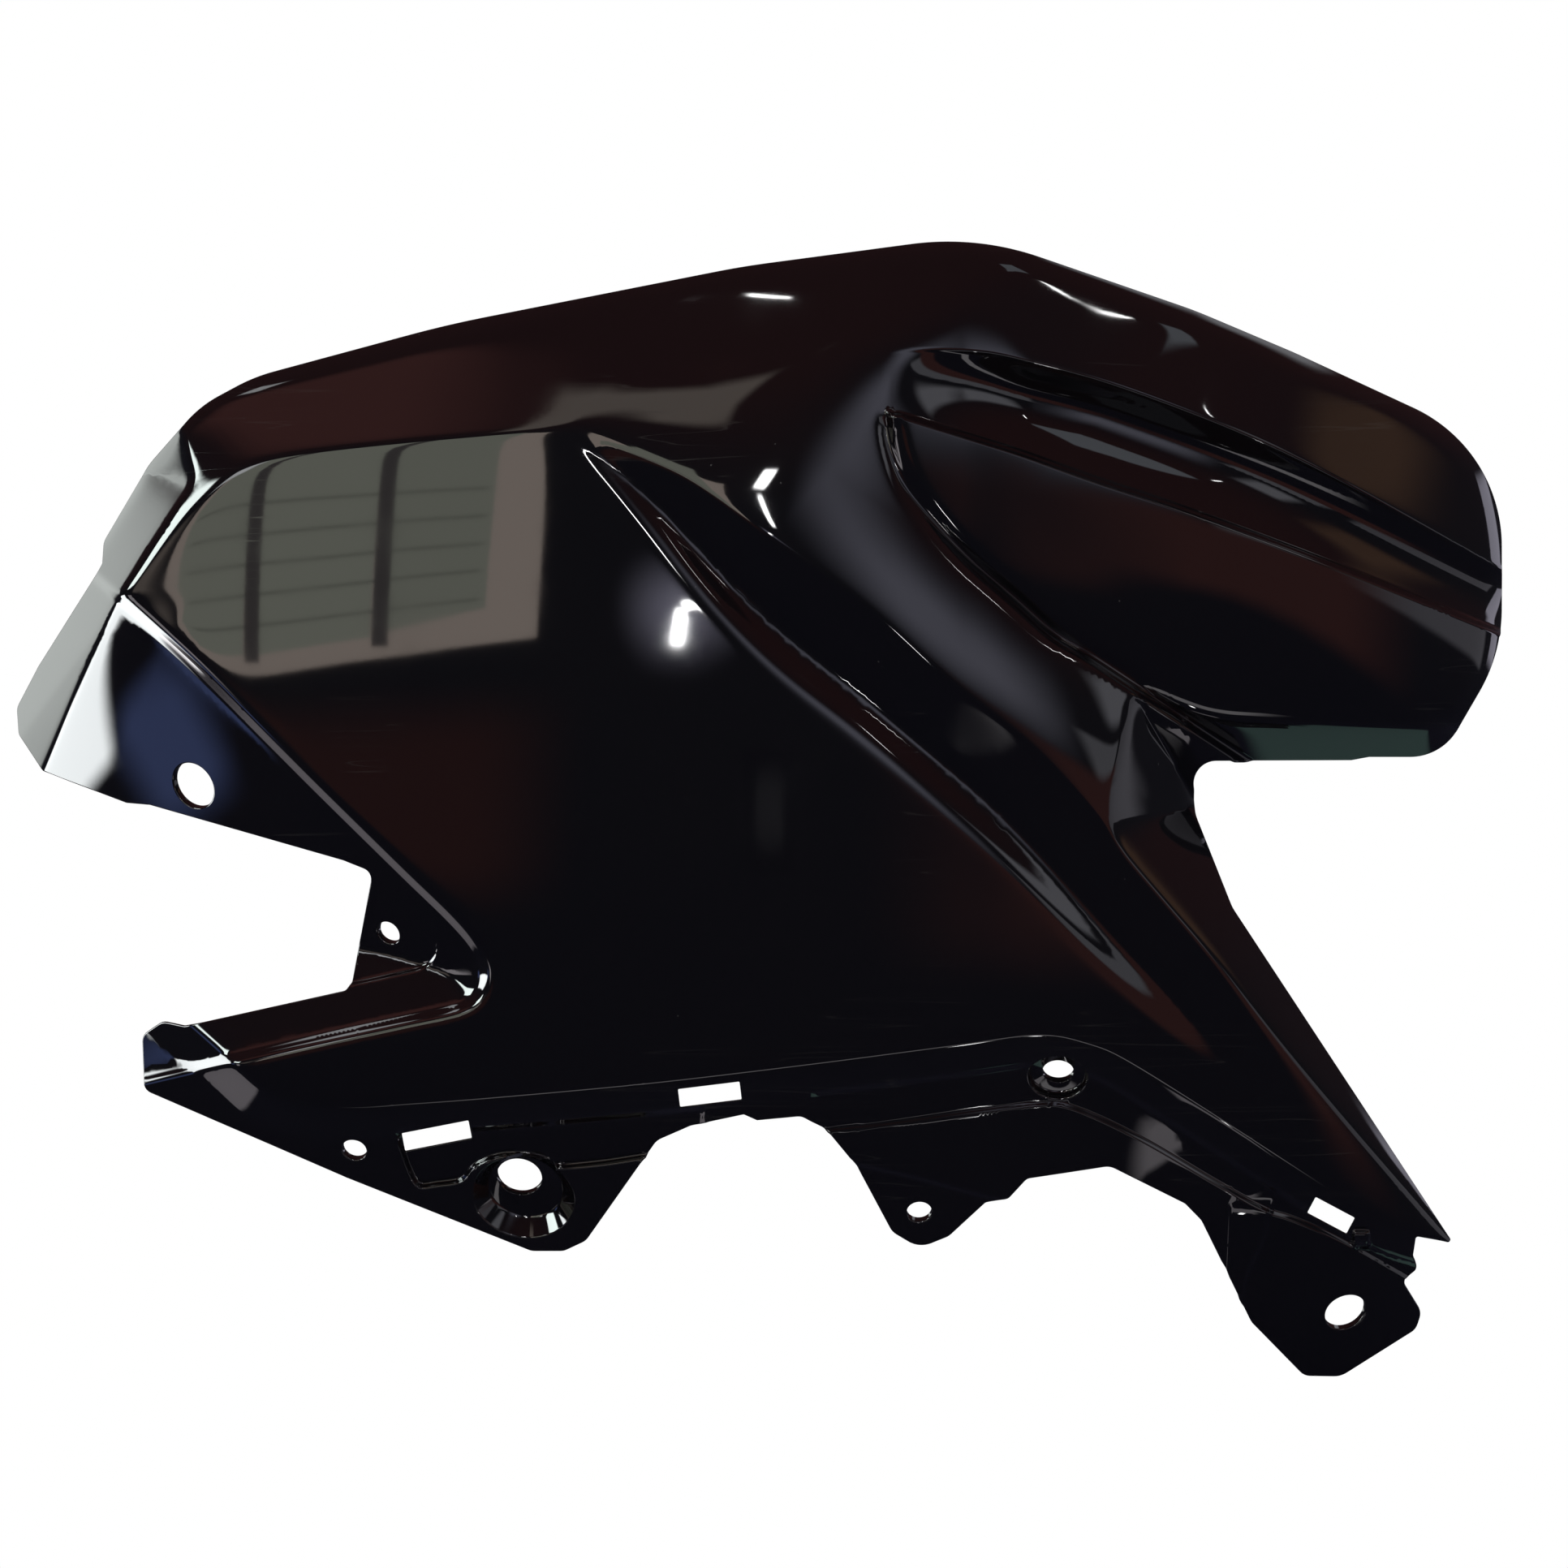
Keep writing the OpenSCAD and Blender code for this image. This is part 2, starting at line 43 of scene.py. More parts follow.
# The panel is worked out in millimetres over the X-Z plane, as heights towards the viewer. A pair
# named In or Out says from where to where a form fades. A Bend says how widely it is rounded.
panelForm = {
    "wall": 2.5, "edgeRound": 0.55,
    "crownMiddle": (135, 237), "crownRise": 75, "crownRadiusX": 620, "crownRadiusZ": 695,
    "rearFrom": 225, "rearRadius": 150, "rearBend": 14,
    "bandSlope": 0.32, "bandBend": 1.2, "bandSoft": 14, "bandIn": (0, 70), "bandOut": (150, 175),
    "stripFrom": (16.5, 253), "stripWay": (0.737, -0.676),
    "stripRise": 7, "stripIn": (0, 75), "stripOut": (190, 360), "ridgeBend": 4, "creaseBend": 0.9,
    "channelDepth": 9, "channelIn": (0, 80), "channelOut": (170, 330), "channelLowest": 0.38, "channelBend": 0.15,
    "curl": 0.012, "curlLeast": 0.25, "curlIn": (50, 130), "curlBend": 1.5, "curlTurn": 30, "curlWidth": 60,
    "curlEnd": 10, "curlOnLobe": 0.75,
    "scoopFrom": 124, "scoopDepth": 9, "scoopStart": (-3, 3), "scoopIn": (-2, 50), "scoopOut": (76, 196),
    "scoopKept": 0.6, "scoopLowest": 0.6, "scoopSide": (-0.5, 1.5), "scoopBend": 1.6,
    "seamDepth": 2, "seamWidth": 3, "seamIn": (0, 6), "seamFrom": 121, "seamOut": (45, 75),
    "lobeRadius": 220, "lobeSlope": 0.1, "lobeBend": 1.2, "lobeIn": (-3, 1), "lobeTop": (-1, 1),
    "flankSlope": 1.1, "flankBend": 1.6,
    "rimSlope": 0.45, "edgeSlope": 0.9, "edgeFrom": 5, "rimBend": 2, "noseSlope": 1.25, "noseBend": 1.1,
    "lowWall": 11, "lowWallSlope": 0.9, "lowLedgeSlope": 0.45, "ledgeBend": 1.2,
    "frontWall": 3.3, "frontWallSlope": 1.2, "frontLedgeSlope": 0.5,
    "notchMiddle": (-39, 74), "notchHalf": (31, 14),
    "shelfDepth": 3, "shelfOut": (60, 64), "rearStepDepth": 1.6, "rearStepIn": (96, 102), "stepSlope": (0, 2.2),
    "stepRunIn": 3,
    "tabStepDepth": 2, "tabStepSlope": (0, 2.5), "tabStepIn": (100, 105), "tabStepOut": (168, 172),
    "screwStepDepth": 1.1, "screwStepSlope": (0, 1.6), "screwStepIn": (0.5, 2.5), "screwStepOut": (75, 82),
    "ribRise": 1.5, "ribSide": (-1, 1), "ribOut": (-13, -6),
    "nubMiddle": (285.3, -21.3), "nubHalf": 3, "nubRise": 2.6, "nubSide": (-0.5, 1.2),
    "noseRollWidth": 22, "noseRollRadius": 145, "noseRollOut": (184, 200),
}

# How far apart the points of the net are. Rows run along the feature lines, offsets away from them.
panelNet = {
    "gridStep": 2.6, "fineStep": 1.5, "rowStep": 2.2, "rowOffsets": [-3, -1.6, -0.75, 0, 0.75, 1.6, 3],
    "least": 0.6, "edgeStep": 1.6, "innerStep": 4.6, "innerRowStep": 4.5, "innerOffsets": [-2.2, 0, 2.2],
    "innerLeast": 1.5, "spread": 0.62, "nubStep": 0.9, "nubBox": (281, 290, -25.6, -17),
    "extraOffsets": {"border": [-2.5, -3.3, -4.1, -8, -9, -10.2, -11, -11.8], "topLine": [4.2, 5, 5.8, 7],
                     "tabStep": [-2.3], "shelfLine": [2.3, 1.2], "rearStep": [2.3, 4.5],
                     "ridge": [4.5, 6, 8, -4.5, -6], "crease": [4.5, 6, -4.5, -6]},
}

# Boxes with the finer net: low and high x, low and high z.
fineZones = [[118, 335, 140, 322], [165, 262, 60, 150], [-72, -5, 22, 108], [-168, -84, 132, 262],
             [228, 308, -66, 4]]

# Feature lines: points, then how far in mm their bends are softened.
featureLines = {
    "shoulder": ([[-133.5, 197], [-117, 219.5], [-108.5, 229], [-97.5, 238], [-85, 243], [-66, 246],
                  [-38.5, 249], [-11, 251.5], [14, 254], [44, 260], [85, 271.5], [126.5, 280], [154, 280],
                  [172, 276.5], [209, 266], [264, 243.5], [327, 209]], 4),
    "frontEdge": ([[-133.5, 196.5], [-110, 175.5], [-82.5, 148], [-66, 131.5], [-38.5, 104.5], [-22, 88.5],
                   [-14, 79], [-10, 70], [-12, 61.5], [-19, 56], [-38.5, 51.5], [-66, 45.5], [-96.5, 38.5]], 2),
    "lowEdge": ([[-96.5, 38.5], [-84, 28], [-66, 23.5], [-52.5, 23], [-38.5, 24], [-11, 26], [44, 31],
                 [99, 37.5], [148.5, 44], [176, 47.5], [192.5, 44.5], [209, 37], [264, 2], [291.5, -15],
                 [316, -23]], 3),
    "ridge": ([[14, 253], [27.5, 241.5], [41, 225], [64.5, 194], [86.5, 170.5], [113, 150],
               [136, 130.5], [168, 100.5], [209, 58], [264, 8], [316, -22.5]], 7),
    "crease": ([[16.5, 255], [41, 244], [58, 236], [85, 216], [99, 206.5], [119, 192],
                [147.5, 166.5], [173, 147], [191, 128], [202, 114], [217.5, 95], [236.5, 73], [264, 38.5],
                [316, -22.5]], 6),
    "lobeLine": ([[126.5, 260], [126, 253], [128, 245], [131.5, 235], [140, 223], [154, 207.5],
                  [168, 195.5], [181.5, 183], [190.5, 178], [205, 168.5]], 4),
    "crest": ([[126.5, 259], [148.5, 252], [168, 246], [195.5, 236], [223, 227], [278, 206.5],
               [330, 185.5]], 8),
    "flank": ([[333, 153], [308, 153], [253, 154.5], [234, 156], [220, 161], [212, 164.5],
               [207.5, 161.5], [203.5, 143], [200, 128], [202, 114], [217.5, 95], [236.5, 73], [264, 38.5],
               [316, -22.5]], 2.5),
    "noseLine": ([[-115, 256], [-112, 242], [-110.5, 236], [-117, 226], [-133.5, 200],
                  [-138, 192], [-159.5, 141.5], [-165, 129]], 3),
    "topLine": ([[-135, 223], [-121, 245], [-110, 256], [-96.5, 264], [-60.5, 274.5], [0, 289.5],
                 [71.5, 304], [99, 308], [126.5, 311.5], [143, 312.5], [162, 310], [181.5, 304.5], [242, 282.5],
                 [291.5, 260], [316, 246], [323, 236.5], [328, 212], [326.5, 184.5], [322.5, 168], [316, 157],
                 [311, 144.5], [360.5, 14]], 3),
    "shelfLine": ([[-45.5, 21.5], [-41, 9.5], [-38, 1.5], [-34.5, -4], [-27.5, -3.5], [-19, -2],
                   [-14.5, 3], [-7, 6], [0, 6.5], [7, 5.5], [12.5, 2.5], [27.5, 3.5], [44, 6]], 1),
    "rearStep": ([[103, 14.5], [126.5, 17], [154, 21], [176, 23.5], [187, 22.5], [209, 12.5],
                  [236.5, -3.5], [253, -12.5], [261, -15], [278, -22.5], [301, -35.5]], 2),
    "screwStep": ([[-68, 64.4], [-56.4, 64.8], [-44, 67.4], [-33, 70.1], [-28.9, 72.9], [-27.2, 77],
                   [-28.5, 82], [-36, 91], [-50, 104]], 1),
    "ribFront": ([[244, 4], [241, -5], [239.5, -33], [237, -60]], 1),
    "ribRear": ([[256, -6], [254, -13.5], [252, -22], [247, -32], [245, -41], [243, -62]], 1),
    "tabStep": ([[110, 7], [116, 5], [132, 1.5], [158, -5.5], [170.5, -8]], 1),
}

# Outline corners: x, z, radius.
outlineCorners = [
    [155, 319.5, 95], [229, 294, 150], [263, 279.6, 200], [333.4, 247, 52], [333.4, 177.3, 57],
    [312.8, 141.8, 19], [288, 141.8, 0], [282, 140.7, 0], [227.8, 140.5, 9], [229.5, 123, 12],
    [242, 91.5, 15], [317, -22.6, 1], [304, -20.5, 1], [303, -27, 2], [304.5, -31.5, 2],
    [299.5, -35.5, 2], [306, -46, 5], [304, -52, 5], [278.5, -68, 8], [266, -67.8, 5],
    [248, -49.5, 6], [231, -15, 6], [225.5, -9.4, 4], [200, 3.3, 6], [172, -1, 3], [165.5, -8, 3],
    [158, -9, 2], [145.5, -20.5, 6], [135.5, -24.5, 9], [126.3, -19, 6], [114.5, 3, 6],
    [103.7, 16, 6], [95.5, 20.2, 5], [80.5, 18.8, 0], [76, 20.8, 1], [58, 17, 1], [46.5, 12, 6],
    [22.5, -22, 5], [15, -25.5, 5], [4, -25.5, 6], [-58.5, -0.7, 0], [-127.5, 29.2, 4],
    [-128.2, 48, 4], [-121, 52.8, 4], [-113.5, 51.2, 2], [-59, 63.3, 2], [-56.8, 66.5, 2],
    [-50, 103, 4], [-60, 107, 5], [-125.5, 125.8, 0], [-133.5, 126.5, 2], [-153, 133.9, 0],
    [-162, 137.5, 2], [-170.2, 150, 4], [-170.8, 159, 5], [-163.5, 173, 12], [-144, 204, 0],
    [-141.8, 208, 1], [-141.3, 215.5, 6], [-126, 241.5, 30], [-108.5, 261.5, 40],
    [-90, 271.5, 60], [-24.5, 289.2, 400], [75.5, 308.9, 300]]

# Plain bores: place and diameter.
boltHoles = {"front": ([-110.5, 132.5], 16.4), "rear": ([280, -46], 14.4), "frontScrew": ([-44.5, 82.5], 8.4),
             "armScrew": ([-56, 9], 8.4), "tabScrew": ([135.5, -12], 8.4)}

# Seats: place, bore, width at floor and mouth, depth under the face, how far the bowl stands off the bore.
boltCup = {"at": [0, 0], "bore": 15.4, "floor": 25.34, "mouth": 34.54, "depth": 6, "shift": [1.8, -4.2],
           "origin": [0, 0, 0]}
cornerSeat = {"at": [182.5, 34.5], "bore": 10.6, "floor": 18.6, "mouth": 20, "depth": 1.6, "shift": [0, 0],
              "origin": None}

# Slots: place, tilt in degrees, length and height.
hookSlots = [([-28, 14], 11, 23, 6), ([64.5, 28], 7, 21, 6), ([275, -13], -28, 15, 6)]

lineStep = 1.5  # between two points of a feature line
spanPoints = 12  # of a feature line, between two of its given points
batch = 8000  # points worked on at a time


def eased(a, b, v):
    t = np.clip((v - a) / (b - a), 0, 1)
    return t * t * (3 - 2 * t)


def rising(d, r):
    return 0.5 * (d + np.sqrt(d * d + r * r))


def curveThrough(points, perSpan):
    q = np.array(points, float)
    e = np.vstack([2 * q[0] - q[1], q, 2 * q[-1] - q[-2]])
    t = (np.arange(perSpan) / perSpan)[:, None]
    spans = [0.5 * (2 * b + (c - a) * t + (2 * a - 5 * b + 4 * c - d) * t * t + (3 * b - a - 3 * c + d) * t ** 3)
             for a, b, c, d in zip(e, e[1:], e[2:], e[3:])]
    return np.vstack(spans + [q[-1:]])


def evenly(points, step):
    along = np.r_[0, np.cumsum(np.linalg.norm(np.diff(points, axis=0), axis=1))]
    at = np.linspace(0, along[-1], max(2, int(round(along[-1] / step)) + 1))
    return np.column_stack([np.interp(at, along, points[:, k]) for k in (0, 1)])


def softened(c, soften, reach=300, step=lineStep):  # drawn out straight at both ends, then smoothed
    first, last = c[0] - c[1], c[-1] - c[-2]
    c = np.vstack([c[0] + reach * first / np.linalg.norm(first), c, c[-1] + reach * last / np.linalg.norm(last)])
    c = evenly(c, step)
    n = int(3 * soften / step) + 1
    weight = np.exp(-0.5 * (np.arange(-n, n + 1) * step / soften) ** 2)
    weight /= weight.sum()
    padded = np.vstack([c[:1] + (c[0] - c[1]) * np.arange(n, 0, -1)[:, None], c,
                        c[-1:] + (c[-1] - c[-2]) * np.arange(1, n + 1)[:, None]])
    return np.column_stack([np.convolve(padded[:, k], weight, "valid") for k in (0, 1)])


lines = {name: softened(curveThrough(points, spanPoints), soften)
         for name, (points, soften) in featureLines.items()}
lines["border"] = softened(np.vstack([curveThrough(featureLines["frontEdge"][0], spanPoints),
                                      curveThrough(featureLines["lowEdge"][0], spanPoints)[1:]]), 2)


def signedDistance(p, line):  # positive on the left hand of the line
    out = np.empty(len(p))
    d = np.diff(line, axis=0)
    size = (d * d).sum(1)
    for s in range(0, len(p), batch):
        q = p[s:s + batch]
        near = ((line * line).sum(1)[None] - 2 * q @ line.T).argmin(1)
        best = None
        for k in (np.clip(near - 1, 0, len(d) - 1), np.clip(near, 0, len(d) - 1)):
            w = q - line[k]
            t = np.clip((w * d[k]).sum(1) / size[k], 0, 1)
            e = w - t[:, None] * d[k]
            found = np.column_stack([(e * e).sum(1), (d[k, 0] * w[:, 1] - d[k, 1] * w[:, 0]) / np.sqrt(size[k])])
            if best is None:
                best = found
            else:
                same = np.abs(found[:, 0] - best[:, 0]) < 1e-9  # at a corner both pieces are equally near
                take = np.where(same, np.abs(found[:, 1]) > np.abs(best[:, 1]), found[:, 0] < best[:, 0])
                best = np.where(take[:, None], found, best)
        out[s:s + batch] = np.sign(best[:, 1]) * np.sqrt(best[:, 0])
    return out


# Around each point of the notch, three rings of eight places.
notchShifts = np.array([[reach * math.cos(a), reach * math.sin(a)] for reach in (0.7, 1.4, 2.1)
                        for a in np.linspace(0, 2 * math.pi, 8, endpoint=False) + reach])


def distances(p):
    d = {name: signedDistance(p, line) for name, line in lines.items()}
    notch = (np.abs(p - panelForm["notchMiddle"]) < panelForm["notchHalf"]).all(1)
    if notch.any():  # rounded where two parts of the edge are equally near
        around = [signedDistance(p[notch] + shift, lines["frontEdge"]) for shift in notchShifts]
        d["frontEdge"][notch] = np.mean(around, axis=0)
    return d


def crown(x, z):
    f = panelForm
    return (f["crownRise"] - (x - f["crownMiddle"][0]) ** 2 / (2 * f["crownRadiusX"])
            - (z - f["crownMiddle"][1]) ** 2 / (2 * f["crownRadiusZ"])
            - rising(x - f["rearFrom"], f["rearBend"]) ** 2 / (2 * f["rearRadius"]))


def upper(d, x, z):
    f = panelForm

    # band over the shoulder, channel and strip
    along = (x - f["stripFrom"][0]) * f["stripWay"][0] + (z - f["stripFrom"][1]) * f["stripWay"][1]
    soft = f["bandBend"] + f["bandSoft"] * eased(*f["bandIn"], x) * (1 - eased(*f["bandOut"], x))
    a, b = rising(d["ridge"], f["ridgeBend"]), rising(-d["crease"], f["creaseBend"])
    w = a / (a + b)  # 0 before the ridge, 1 behind the crease
    climb, fall = eased(0, f["channelLowest"], w), (1 - w) / (1 - f["channelLowest"])
    cut = climb - rising(climb - fall, f["channelBend"])
    strip = (f["stripRise"] * eased(*f["stripIn"], along) * (1 - eased(*f["stripOut"], along)) * w
             - f["channelDepth"] * eased(*f["channelIn"], along) * (1 - eased(*f["channelOut"], along)) * cut)
    turn, wide = f["curlTurn"], f["curlWidth"]
    out = wide - rising(wide - rising(d["crease"], f["curlBend"]), f["curlEnd"])
    roll = np.where(out < turn, out * out / 2, turn * turn / 2 + turn * (out - turn))
    curl = (f["curlLeast"] + (1 - f["curlLeast"]) * eased(*f["curlIn"], along)) * f["curl"] * roll

    # lobe with its scoop
    above, below = rising(d["crest"], f["scoopBend"]), rising(-d["shoulder"], f["scoopBend"])
    v, low = above / (above + below), f["scoopLowest"]  # v is 0 on the crest, 1 on the shoulder
    dish = np.where(v < low, np.sin(np.radians(90 / low * v)), np.cos(np.radians(90 / (1 - low) * (v - low))))
    dish = dish * eased(*f["scoopSide"], d["crest"]) * eased(*f["scoopSide"], -d["shoulder"])
    past = x - f["scoopFrom"]
    fade = f["scoopKept"] + (1 - f["scoopKept"]) * (1 - eased(*f["scoopOut"], past))
    scoop = f["scoopDepth"] * eased(*f["scoopIn"], past) * fade * dish * eased(*f["scoopStart"], past)
    under = rising(-d["crest"], f["lobeBend"])
    onLobe = eased(*f["lobeIn"], d["lobeLine"]) * eased(*f["lobeTop"], -d["crest"])
    seam = (f["seamDepth"] * np.exp(-(d["lobeLine"] / f["seamWidth"]) ** 2) * eased(*f["seamIn"], -d["crest"])
            * (1 - eased(*f["seamOut"], x - f["seamFrom"])))
    return (-f["bandSlope"] * rising(d["shoulder"], soft) + strip - curl - scoop - seam
            + onLobe * (f["curlOnLobe"] * curl - f["lobeSlope"] * under - under * under / (2 * f["lobeRadius"]))
            - f["flankSlope"] * rising(d["flank"], f["flankBend"]))


def rim(d):
    f, top = panelForm, d["topLine"]
    return (-f["rimSlope"] * rising(top, f["rimBend"]) - f["edgeSlope"] * rising(top - f["edgeFrom"], f["rimBend"])
            - f["noseSlope"] * rising(-d["noseLine"], f["noseBend"]))


def ledge(d, x):  # beside the face: a short wall, then a flatter ledge with its steps
    f, below, before = panelForm, -d["lowEdge"], -d["frontEdge"]
    wide, near, bend = f["lowWall"], f["frontWall"], f["ledgeBend"]
    fall = (-f["lowWallSlope"] * (rising(below, bend) - rising(below - wide, bend))
            - f["lowLedgeSlope"] * rising(below - wide, bend)
            - f["frontWallSlope"] * (rising(before, bend) - rising(before - near, bend))
            - f["frontLedgeSlope"] * rising(before - near, bend))
    past = eased(wide - f["stepRunIn"], wide, below)
    shelf = f["shelfDepth"] * eased(*f["stepSlope"], d["shelfLine"]) * past * (1 - eased(*f["shelfOut"], x))
    rearStep = f["rearStepDepth"] * eased(*f["stepSlope"], d["rearStep"]) * past * eased(*f["rearStepIn"], x)
    tabStep = (f["tabStepDepth"] * eased(*f["tabStepSlope"], -d["tabStep"]) * eased(*f["tabStepIn"], x)
               * (1 - eased(*f["tabStepOut"], x)))
    return fall - (shelf + rearStep + tabStep)


def smallForms(d, x, z):  # edge round the front screw, rib and nub of the rear tab, roll beside the nose line
    f = panelForm
    edge = (f["screwStepDepth"] * eased(*f["screwStepSlope"], d["screwStep"])
            * eased(*f["screwStepIn"], -d["frontEdge"] - f["frontWall"]) * (1 - eased(*f["screwStepOut"], z)))
    rib = (f["ribRise"] * eased(*f["ribSide"], d["ribFront"]) * eased(*f["ribSide"], -d["ribRear"])
           * (1 - eased(*f["ribOut"], z)))
    nub = (f["nubRise"] * eased(*f["nubSide"], f["nubHalf"] - np.abs(x - f["nubMiddle"][0]))
           * eased(*f["nubSide"], f["nubHalf"] - np.abs(z - f["nubMiddle"][1])))
    wide = f["noseRollWidth"]
    roll = (np.clip(wide - d["noseLine"], 0, wide) ** 2 / (2 * f["noseRollRadius"])
            * (1 - eased(*f["noseRollOut"], z)))
    return -edge + rib + nub - roll


def bodyHeight(p):
    d, x, z = distances(p), p[:, 0], p[:, 1]
    return crown(x, z) + upper(d, x, z) + rim(d) + ledge(d, x) + smallForms(d, x, z)


def slopeOf(p, h):
    sideways, upwards = np.array([h, 0.0]), np.array([0.0, h])
    return np.column_stack([(bodyHeight(p + sideways) - bodyHeight(p - sideways)) / (2 * h),
                            (bodyHeight(p + upwards) - bodyHeight(p - upwards)) / (2 * h)])


cupPlace = np.array([boltCup["at"]], float)
nearSlope, farSlope, gentleSlope = 0.2, 3, 1.5  # reach in mm over which a slope is taken
cupSlope = slopeOf(cupPlace, farSlope)[0]
datum = bodyHeight(cupPlace)[0] - boltCup["depth"] * math.sqrt(1 + cupSlope @ cupSlope)


def onFace(p):
    return np.column_stack([p[:, 0], datum - bodyHeight(p), p[:, 1]])


def outward(slope):
    n = np.column_stack([-slope[:, 0], -np.ones(len(slope)), -slope[:, 1]])
    return n / np.linalg.norm(n, axis=1)[:, None]


def unit(v):
    return v / np.linalg.norm(v, axis=-1, keepdims=True)


def subdivided(loop, spacing, shortest=0.0):
    full = []
    for a, b in zip(loop, np.roll(loop, -1, axis=0)):
        size = np.linalg.norm(b - a)
        if size < shortest:
            continue
        k = max(1, int(round(size / spacing)))
        full += [a + (b - a) * j / k for j in range(k)]
    return np.array(full)


def roundedOutline(corners, spacing):
    arcStep, arcTurn, share, shortest = 0.8, 0.25, 0.48, 0.05  # mm, radians, part of a side, mm
    pts, n = [], len(corners)
    for i in range(n):
        b, r = np.array(corners[i][:2], float), corners[i][2]
        u = np.array(corners[i - 1][:2], float) - b
        w = np.array(corners[(i + 1) % n][:2], float) - b
        eu, ew = unit(u), unit(w)
        half = math.acos(max(-1, min(1, eu @ ew))) / 2
        cut = min(r / math.tan(half), share * np.linalg.norm(u), share * np.linalg.norm(w))
        if r == 0 or cut < 1e-6:
            pts.append(b)
            continue
        rr = cut * math.tan(half)
        mid = b + unit(eu + ew) * (rr / math.sin(half))
        a0 = math.atan2(*(b + eu * cut - mid)[::-1])
        a1 = math.atan2(*(b + ew * cut - mid)[::-1])
        turn = (a1 - a0 + math.pi) % (2 * math.pi) - math.pi
        steps = max(3, int(abs(turn) * rr / arcStep), int(abs(turn) / arcTurn))
        for k in range(steps + 1):
            a = a0 + turn * k / steps
            pts.append(mid + rr * np.array([math.cos(a), math.sin(a)]))
    return subdivided(np.array(pts), spacing, shortest)


def loopNormals(loop):  # away from the inside of a counter-clockwise loop
    t = unit(np.roll(loop, -1, axis=0) - np.roll(loop, 1, axis=0))
    return np.column_stack([t[:, 1], -t[:, 0]])


def inside(p, loop):
    a, b = loop, np.roll(loop, -1, axis=0)
    found = np.zeros(len(p), bool)
    for s in range(0, len(p), batch):
        q = p[s:s + batch]
        crosses = (a[None, :, 1] > q[:, 1:2]) != (b[None, :, 1] > q[:, 1:2])
        rise = b[:, 1] - a[:, 1]
        rise = np.where(rise == 0, 1, rise)
        at = a[None, :, 0] + (q[:, 1:2] - a[None, :, 1]) * (b - a)[None, :, 0] / rise[None]
        found[s:s + batch] = (crosses & (q[:, 0:1] < at)).sum(1) % 2 == 1
    return found


def innerFace(p):  # the wall is even, save where the face is too steep for it
    slope, steepest = slopeOf(p, gentleSlope), 1.9
    face = onFace(p)
    face[:, 1] += panelForm["wall"] * np.minimum(steepest, np.sqrt(1 + (slope ** 2).sum(1)))
    return face


def roundHole(at, radius, steps, sunk=0, shift=(0, 0), origin=None):  # runs clockwise, its material outside
    at = np.array([at], float)
    slope = slopeOf(at, farSlope)
    n = outward(slope)[0]
    u = unit(np.array([1, -slope[0, 0], 0]))
    v = np.cross(n, u)
    origin = onFace(at)[0] - sunk * n if origin is None else np.array(origin, float)
    angle = -np.linspace(0, 2 * np.pi, steps, endpoint=False)
    radial = np.cos(angle)[:, None] * u + np.sin(angle)[:, None] * v
    hole = {"radial": radial, "origin": origin, "middle": origin + shift[0] * u + shift[1] * v, "n": n}
    hole["loop"] = meet(hole, radius, sunk, onFace)[:, [0, 2]]
    return hole


def meet(hole, radius, lift, surface):  # where a round wall of that radius meets a surface
    lift = np.full(len(hole["radial"]), float(lift))
    for _ in range(6):
        p = hole["middle"] + radius * hole["radial"] + lift[:, None] * hole["n"]
        lift += (surface(p[:, [0, 2]])[:, 1] - p[:, 1]) * hole["n"][1]
    return p


def slotLoop(at, tilt, size, high, corner):  # runs clockwise too
    pts = []
    for cx, cz, a0 in ((1, 1, 0), (-1, 1, 90), (-1, -1, 180), (1, -1, 270)):
        for a in range(0, 91, 18):
            g = math.radians(a0 + a)
            pts.append([cx * (size / 2 - corner) + corner * math.cos(g),
                        cz * (high / 2 - corner) + corner * math.sin(g)])
    g = math.radians(tilt)
    turn = np.array([[math.cos(g), math.sin(g)], [-math.sin(g), math.cos(g)]])
    return (subdivided(np.array(pts), 1.2) @ turn + at)[::-1]


def evenGrid(low, high, step):  # rows of even triangles
    xs, zs = np.arange(low[0], high[0], step), np.arange(low[1], high[1], step * 0.866)
    return np.array([[x + (step / 2 if k % 2 else 0), z] for k, z in enumerate(zs) for x in xs])


def lineRows(rowStep, offsets, extra):
    rows, every = [], max(1, int(round(rowStep / lineStep)))
    for name, line in lines.items():
        t = unit(np.gradient(line, axis=0))
        side = np.column_stack([-t[:, 1], t[:, 0]])
        rows += [(line + o * side)[::every] for o in offsets + extra.get(name, [])]
    x0, x1, z0, z1 = panelNet["nubBox"]
    step = panelNet["nubStep"]
    return np.vstack(rows + [np.mgrid[x0:x1:step, z0:z1:step].reshape(2, -1).T])


